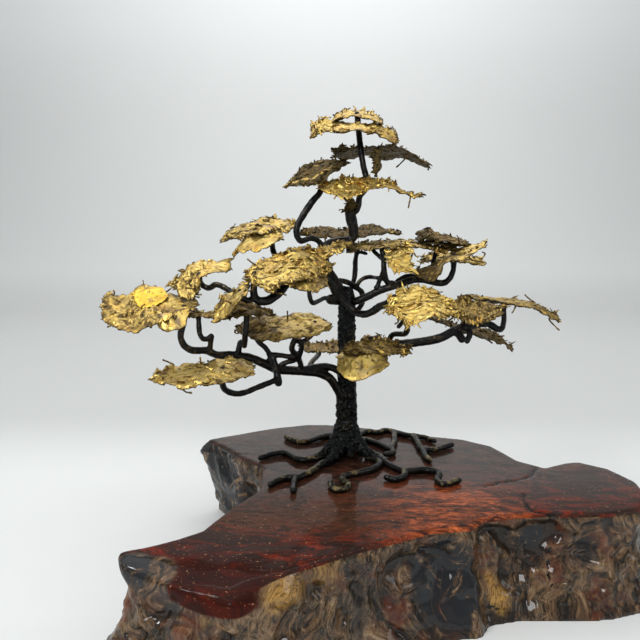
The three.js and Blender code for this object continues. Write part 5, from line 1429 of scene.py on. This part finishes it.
def slabPiece():
    parts = bmesh.new()
    parts.from_mesh(nodes["wood_base"].data)
    piece = remeshed("wood_base_carved", parts, slabPlan["pitch"], 2)
    points, normals = meshPoints(piece.data), meshNormals(piece.data)
    x, y, z = points.T
    side = ease(normals[:, 2], 0.75, 0.2) * (z > 1.5)
    side = np.where((normals[:, 2] < -0.7) & (z < 3), 0, side)
    drift = points
    for amount, size, first in (("drift", "driftSize", 31), ("fineDrift", "fineDriftSize", 41)):
        wander = np.stack([smoothNoise(points, slabPlan[size], first + k) for k in range(3)], axis=1)
        drift = drift + slabPlan[amount] * wander
    leaning = np.column_stack([drift[:, 0] + 0.6 * drift[:, 2], drift[:, 1], drift[:, 2] * 0.5])
    gnarls = smoothNoise(drift, slabPlan["gnarlSize"], 34)
    folds = ridgeNoise(leaning, slabPlan["foldSize"], 35)
    plies = ridgeNoise(leaning, slabPlan["plySize"], 38)
    knurls = smoothNoise(leaning, slabPlan["knurlSize"], 36)
    rise = (slabPlan["gnarl"] * gnarls + slabPlan["fold"] * (folds - 0.35) * 0.8
            + slabPlan["ply"] * (plies - 0.3) + slabPlan["knurl"] * knurls)
    gold = np.zeros(len(points))
    lumps = np.zeros(len(points))
    for fx, fy, fz, reach, height, golden in slabFeatures:
        near = np.exp(-(((x - fx) ** 2 + (y - fy) ** 2 + (z - fz) ** 2) / reach ** 2))
        lumps = lumps + height * near
        gold = gold + golden * near
    rise = rise * (1 - slabPlan["blackCalm"] * np.clip(-gold, 0, 1)) + lumps
    crack = crackShare(points)
    # the relief fades where the side meets the top's rim and the floor
    fade = ease(slabTop - z, 1.0, 10.0) * ease(z, 0.5, 9.0)
    outward = unit(normals * np.array([1, 1, 0.15]))
    points = points + outward * (rise * side * fade)[:, None]
    tipX, tipY, tipReach, tipJut = slabPlan["tip"]
    jut = np.exp(-((x - tipX) ** 2 + (y - tipY) ** 2) / tipReach ** 2) * ease(z, 52, 68)
    points[:, 0] -= tipJut * jut
    top = (normals[:, 2] > 0.75) & (z > slabTop - 4)
    rimPlaces = KDTree(int((side > 0.5).sum()))
    for index, place in enumerate(points[side > 0.5]):
        rimPlaces.insert((place[0], place[1], 0), index)
    rimPlaces.balance()
    roll = np.zeros(len(points))
    for rx, ry, reach, drop in slabPlan["rolls"]:
        roll += drop * np.exp(-((x - rx) ** 2 + (y - ry) ** 2) / reach ** 2)
    for index in np.flatnonzero((roll > 0.2) & (z > 40)):
        away = rimPlaces.find((x[index], y[index], 0))[2] if top[index] else 0
        sunk = math.exp(-(away / slabPlan["rollReach"]) ** 2) * min(1, (z[index] - 40) / 20)
        points[index, 2] -= roll[index] * sunk
    rolled = np.clip(roll / 2.5, 0, 1) * ease(z, 46, 62)
    points = relaxed(piece.data, points, rolled, slabPlan["rounding"])
    side = np.where(z < 40, 1, side) * (1 - np.clip(roll / 4, 0, 1) * ease(z, 52, 60))
    for bx, by, reach in slabPlan["bare"]:
        bared = np.clip(1.5 * np.exp(-((x - bx) ** 2 + (y - by) ** 2) / reach ** 2), 0, 1)
        side = np.maximum(side, bared * (rolled > 0.1))
    points[:, 2] += np.where(top, slabPlan["wave"] * smoothNoise(points, 18, 37), 0)
    points[:, 2] = np.where(z < 1.2, 0, np.maximum(points[:, 2], 0))
    points -= normals * (crack * slabPlan["crackDepth"] * (z > 4))[:, None]
    movePoints(piece.data, points)
    paintValues(piece, {
        "side": side, "golden": gold, "crack": crack, "rolled": rolled,
        # the hollows of the live edge take painted shade and its proud ridges a painted highlight
        "hollowShade": np.clip(-rise / 5 - 0.3 * plies, 0, 1) * side,
        "proud": np.clip(rise / 5 + 0.3 * plies, 0, 1) * side})
    return piece


burlColours = {
    # the polished top
    "darkRed": rgb(0.026, 0.011, 0.008), "red": rgb(0.16, 0.016, 0.005),
    "darkBrown": rgb(0.016, 0.009, 0.006), "brown": rgb(0.07, 0.026, 0.016),
    "ember": rgb(0.12, 0.024, 0.009), "orange": rgb(0.56, 0.13, 0.035),
    "shadedRolledRed": rgb(0.03, 0.006, 0.004), "dulled": rgb(0.075, 0.034, 0.017),
    "streak": rgb(0.01, 0.006, 0.005), "glintSpeck": rgb(0.4, 0.18, 0.09),
    # the live edge
    "bark": rgb(0.01, 0.008, 0.006), "tan": rgb(0.16, 0.088, 0.044), "pale": rgb(0.38, 0.27, 0.16),
    "cloud": rgb(0.012, 0.013, 0.014), "thread": rgb(0.24, 0.15, 0.075),
    "darkThread": rgb(0.014, 0.01, 0.008), "lit": rgb(0.3, 0.2, 0.11), "russet": rgb(0.13, 0.026, 0.01),
    "hollowShade": rgb(0.012, 0.009, 0.007),
    "darkAmber": rgb(0.13, 0.055, 0.012), "amber": rgb(0.44, 0.25, 0.06), "slate": rgb(0.013, 0.015, 0.018),
    "crack": rgb(0.004, 0.003, 0.003),
}


def lacqueredBurl():
    colours = burlColours
    material, tree, surface, place = newMaterial("lacquered burl")
    across, deep, _ = addNode(tree, "ShaderNodeSeparateXYZ", {0: place}).outputs
    side, golden = painted(tree, "side"), painted(tree, "golden")

    # polished top: dark wine red, glowing orange towards the middle of the front, brown at the back
    figure = grain(tree, stretched(tree, place, (0.8, 1.7, 1.0), (0, 0, 0.35)), 30.0, 8.0, 0.74, 1.8)
    fibres = grain(tree, stretched(tree, place, (0.8, 3.2, 1.0), (0, 0, 0.35)), 90.0, 8.0, 0.76, 1.2)
    specks = grain(tree, place, 520.0, 3.0, 0.65)
    front = between(tree, deep, -0.01, -0.13)
    nearRim = between(tree, deep, -0.03, -0.15)
    glow = product(
        tree, between(tree, across, -0.01, 0.06), between(tree, across, 0.14, 0.09),
        between(tree, deep, -0.05, -0.1), between(tree, deep, -0.165, -0.14, 0.35, 1.0))
    worked = product(
        tree, between(tree, across, -0.13, -0.07), between(tree, across, 0.05, -0.01),
        between(tree, deep, -0.17, -0.13))
    red = blendColour(tree, between(tree, figure, 0.45, 0.64), colours["darkRed"], colours["red"])
    brown = blendColour(tree, between(tree, figure, 0.38, 0.62), colours["darkBrown"], colours["brown"])
    orange = blendColour(tree, between(tree, fibres, 0.38, 0.62), colours["ember"], colours["orange"])
    top = layered(tree, brown, [
        (front, red),
        (product(tree, glow, between(tree, figure, 0.38, 0.6)), orange),
        # painted shade: the red darkens where the top rolls over its edge
        (between(tree, painted(tree, "rolled"), 0.1, 0.8, 0.0, 0.7), colours["shadedRolledRed"]),
        (product(tree, worked, front, between(tree, figure, 0.42, 0.56, 0.3, 0.8)), colours["dulled"]),
        (product(tree, between(tree, fibres, 0.45, 0.36), 0.75), colours["streak"]),
        # painted glints: small bright specks scattered over the polished top
        (between(tree, specks, 0.645, 0.69, 0.0, 0.8), colours["glintSpeck"]),
    ])

    # live edge: brown and gold bands through near-black, with a painted highlight on the proud ridges and
    # painted shade in the hollows
    swirl = addNode(tree, "ShaderNodeTexNoise", {"Vector": place, "Scale": 18.0, "Detail": 2.0})
    swirl = addNode(tree, "ShaderNodeVectorMath",
                    {0: swirl.outputs["Color"], 1: (0.055, 0.055, 0.055)}, operation="MULTIPLY")
    warped = addNode(tree, "ShaderNodeVectorMath", {0: place, 1: swirl.outputs[0]}, operation="ADD")
    warped = warped.outputs[0]
    bands = grain(tree, stretched(tree, warped, (1.0, 1.0, 0.5), (0, 0.6, 0)), 55.0, 9.0, 0.76, 2.6)
    threads = grain(tree, stretched(tree, warped, (1.0, 1.0, 0.25), (0, 0.6, 0)), 260.0, 6.0, 0.74, 2.0)
    clouds = grain(tree, place, 21.0, 4.0, 0.6, 0.8)
    amber = blendColour(tree, between(tree, threads, 0.38, 0.6), colours["darkAmber"], colours["amber"])
    bark = layered(tree, colours["bark"], [
        (between(tree, bands, 0.43, 0.6), colours["tan"]),
        (between(tree, bands, 0.55, 0.68, 0.0, 0.85), colours["pale"]),
        (between(tree, clouds, 0.53, 0.66, 0.0, 0.8), colours["cloud"]),
        (between(tree, threads, 0.52, 0.7, 0.0, 0.4), colours["thread"]),
        (between(tree, threads, 0.45, 0.3, 0.0, 0.6), colours["darkThread"]),
        (product(tree, painted(tree, "proud"), between(tree, threads, 0.42, 0.6), 0.6), colours["lit"]),
        (between(tree, grain(tree, place, 33.0, 3.0), 0.52, 0.68, 0.0, 0.55), colours["russet"]),
        (between(tree, painted(tree, "hollowShade"), 0.25, 0.85, 0.0, 0.85), colours["hollowShade"]),
        (product(tree, between(tree, golden, 0.25, 0.8), between(tree, bands, 0.25, 0.55)), amber),
        (product(tree, between(tree, golden, -0.25, -0.65, 0.0, 0.94), between(tree, bands, 0.62, 0.52)),
         colours["slate"]),
    ])
    colour = layered(tree, top, [
        (between(tree, side, 0.35, 0.65), bark),
        (between(tree, painted(tree, "crack"), 0.2, 0.6), colours["crack"]),
    ])

    # the top is battered in the middle of the left and here and there elsewhere
    scratches = grain(tree, stretched(tree, place, (1.0, 3.5, 1.0), (0, 0, -0.6)), 130.0, 6.0, 0.75, 1.5)
    worked = maths(tree, "MAXIMUM", worked, between(tree, grain(tree, place, 13.0, 2.0), 0.48, 0.62))
    battered = product(tree, between(tree, scratches, 0.5, 0.72), worked, 0.5)
    relief = blendColour(tree, side, added(tree, battered, product(tree, specks, 0.05)),
                         added(tree, product(tree, bands, 0.6), product(tree, threads, 0.5)))
    coat = blendColour(tree, between(tree, side, 0.3, 0.7), between(tree, nearRim, 0.0, 1.0, 0.5, 0.11),
                       rgb(0.65, 0.65, 0.65))
    feed(tree, surface, {
        "Base Color": colour, "Roughness": between(tree, side, 0.3, 0.7, 0.35, 0.5),
        "Specular IOR Level": 0.025, "Coat Weight": coat, "Coat Roughness": 0.07,
        "Normal": bump(tree, relief, 1.2, 0.9)})
    return material


finishPiece(slabPiece(), "wood_base", "wood", lacqueredBurl())
print("slab made")

# Floor, lights and camera

floorPlan = {
    "half": 4.0, "bendStart": 1.6, "bendRadius": 1.2, "wallTop": 4.5,
    "paper": rgb(0.7, 0.71, 0.705), "palePaper": rgb(0.75, 0.76, 0.755), "high": rgb(0.84, 0.85, 0.85),
    "shadedFloorBehind": rgb(0.55, 0.56, 0.555), "wall": rgb(0.635, 0.65, 0.645),
}
bendAngles = np.linspace(0, math.pi / 2, 25)
sweep = [(-floorPlan["half"], 0.0)]
sweep += [(floorPlan["bendStart"] + floorPlan["bendRadius"] * math.sin(angle),
           floorPlan["bendRadius"] * (1 - math.cos(angle))) for angle in bendAngles]
sweep += [(sweep[-1][0], floorPlan["wallTop"])]
floorMesh = bpy.data.meshes.new("floor")
floorMesh.from_pydata([(x, y, z) for y, z in sweep for x in (-floorPlan["half"], floorPlan["half"])], [],
                      [(2 * k, 2 * k + 1, 2 * k + 3, 2 * k + 2) for k in range(len(sweep) - 1)])
floorMesh.polygons.foreach_set("use_smooth", [True] * len(floorMesh.polygons))
floor = bpy.data.objects.new("floor", floorMesh)
scene.collection.objects.link(floor)
floorMaterial, tree, surface, place = newMaterial("pale floor")
_, deep, height = addNode(tree, "ShaderNodeSeparateXYZ", {0: place}).outputs
# the paper grows lighter high on the wall: painted light
paper = layered(tree, floorPlan["paper"], [
    (grain(tree, place, 3.0), floorPlan["palePaper"]),
    (between(tree, height, 0.8, 1.5), floorPlan["high"]),
])
# painted shade: behind the object the floor is darker than the paper and the lower wall grey, fading back
# to the paper higher up
far = blendColour(tree, between(tree, height, 0.0, 0.15), floorPlan["shadedFloorBehind"], floorPlan["wall"])
shadeBehindShare = product(tree, between(tree, deep, 0.12, 0.4), between(tree, height, 1.3, 0.2))
feed(tree, surface, {"Base Color": blendColour(tree, shadeBehindShare, paper, far), "Roughness": 0.7})
floor.data.materials.append(floorMaterial)

roomColours = {"front": rgb(0.3, 0.305, 0.31), "back": rgb(0.5, 0.525, 0.53), "above": rgb(0.5, 0.52, 0.52)}
world = bpy.data.worlds.new("studio")
scene.world = world
world.use_nodes = True
sky = world.node_tree
outward = addNode(sky, "ShaderNodeTexCoord").outputs["Generated"]
_, deep, height = addNode(sky, "ShaderNodeSeparateXYZ", {0: outward}).outputs
room = layered(sky, roomColours["front"], [
    (between(sky, deep, -0.35, 0.35), roomColours["back"]),
    (between(sky, height, 0.2, 0.8), roomColours["above"]),
])
sky.links.new(room, sky.nodes["Background"].inputs["Color"])
sky.nodes["Background"].inputs["Strength"].default_value = 1.0

lightPlan = {
    "overhead": {"place": (-0.1, 0.1, 1.7), "aim": (0, 0, 0.15), "size": 2.6, "power": 15.5},
    "key": {"place": (-0.75, -0.55, 1.15), "aim": (0, 0, 0.2), "size": 0.24, "power": 4.8},
    "wallWash": {"place": (0.0, 1.2, 2.6), "aim": (0, 2.8, 1.5), "size": 1.6, "power": 36.0},
    "front": {"place": (-0.25, -1.3, 0.75), "aim": (0, 0, 0.18), "size": 0.4, "power": 5.0},
    "rightWindow": {"place": (1.2, -0.3, 0.9), "aim": (0, 0, 0.2), "size": 0.6, "power": 2.5},
}
for name, plan in lightPlan.items():
    lamp = bpy.data.lights.new(name, "AREA")
    lamp.size = plan["size"]
    lamp.energy = plan["power"]
    holder = bpy.data.objects.new(name, lamp)
    holder.location = plan["place"]
    aim = Vector(plan["aim"]) - Vector(plan["place"])
    holder.rotation_euler = aim.to_track_quat("-Z", "Y").to_euler()
    scene.collection.objects.link(holder)

scene.view_settings.view_transform = "Standard"

cameraPlan = {"place": (-0.023, -0.544, 0.2577), "pitch": 7.125, "lens": 36.0}
camera = bpy.data.cameras.new("photo view")
camera.lens = cameraPlan["lens"]
camera.sensor_width = 36.0
viewer = bpy.data.objects.new("photo view", camera)
viewer.location = cameraPlan["place"]
viewer.rotation_euler = (math.radians(90 - cameraPlan["pitch"]), 0, 0)
scene.collection.objects.link(viewer)
scene.camera = viewer

bpy.context.view_layer.update()
print("scene ready")
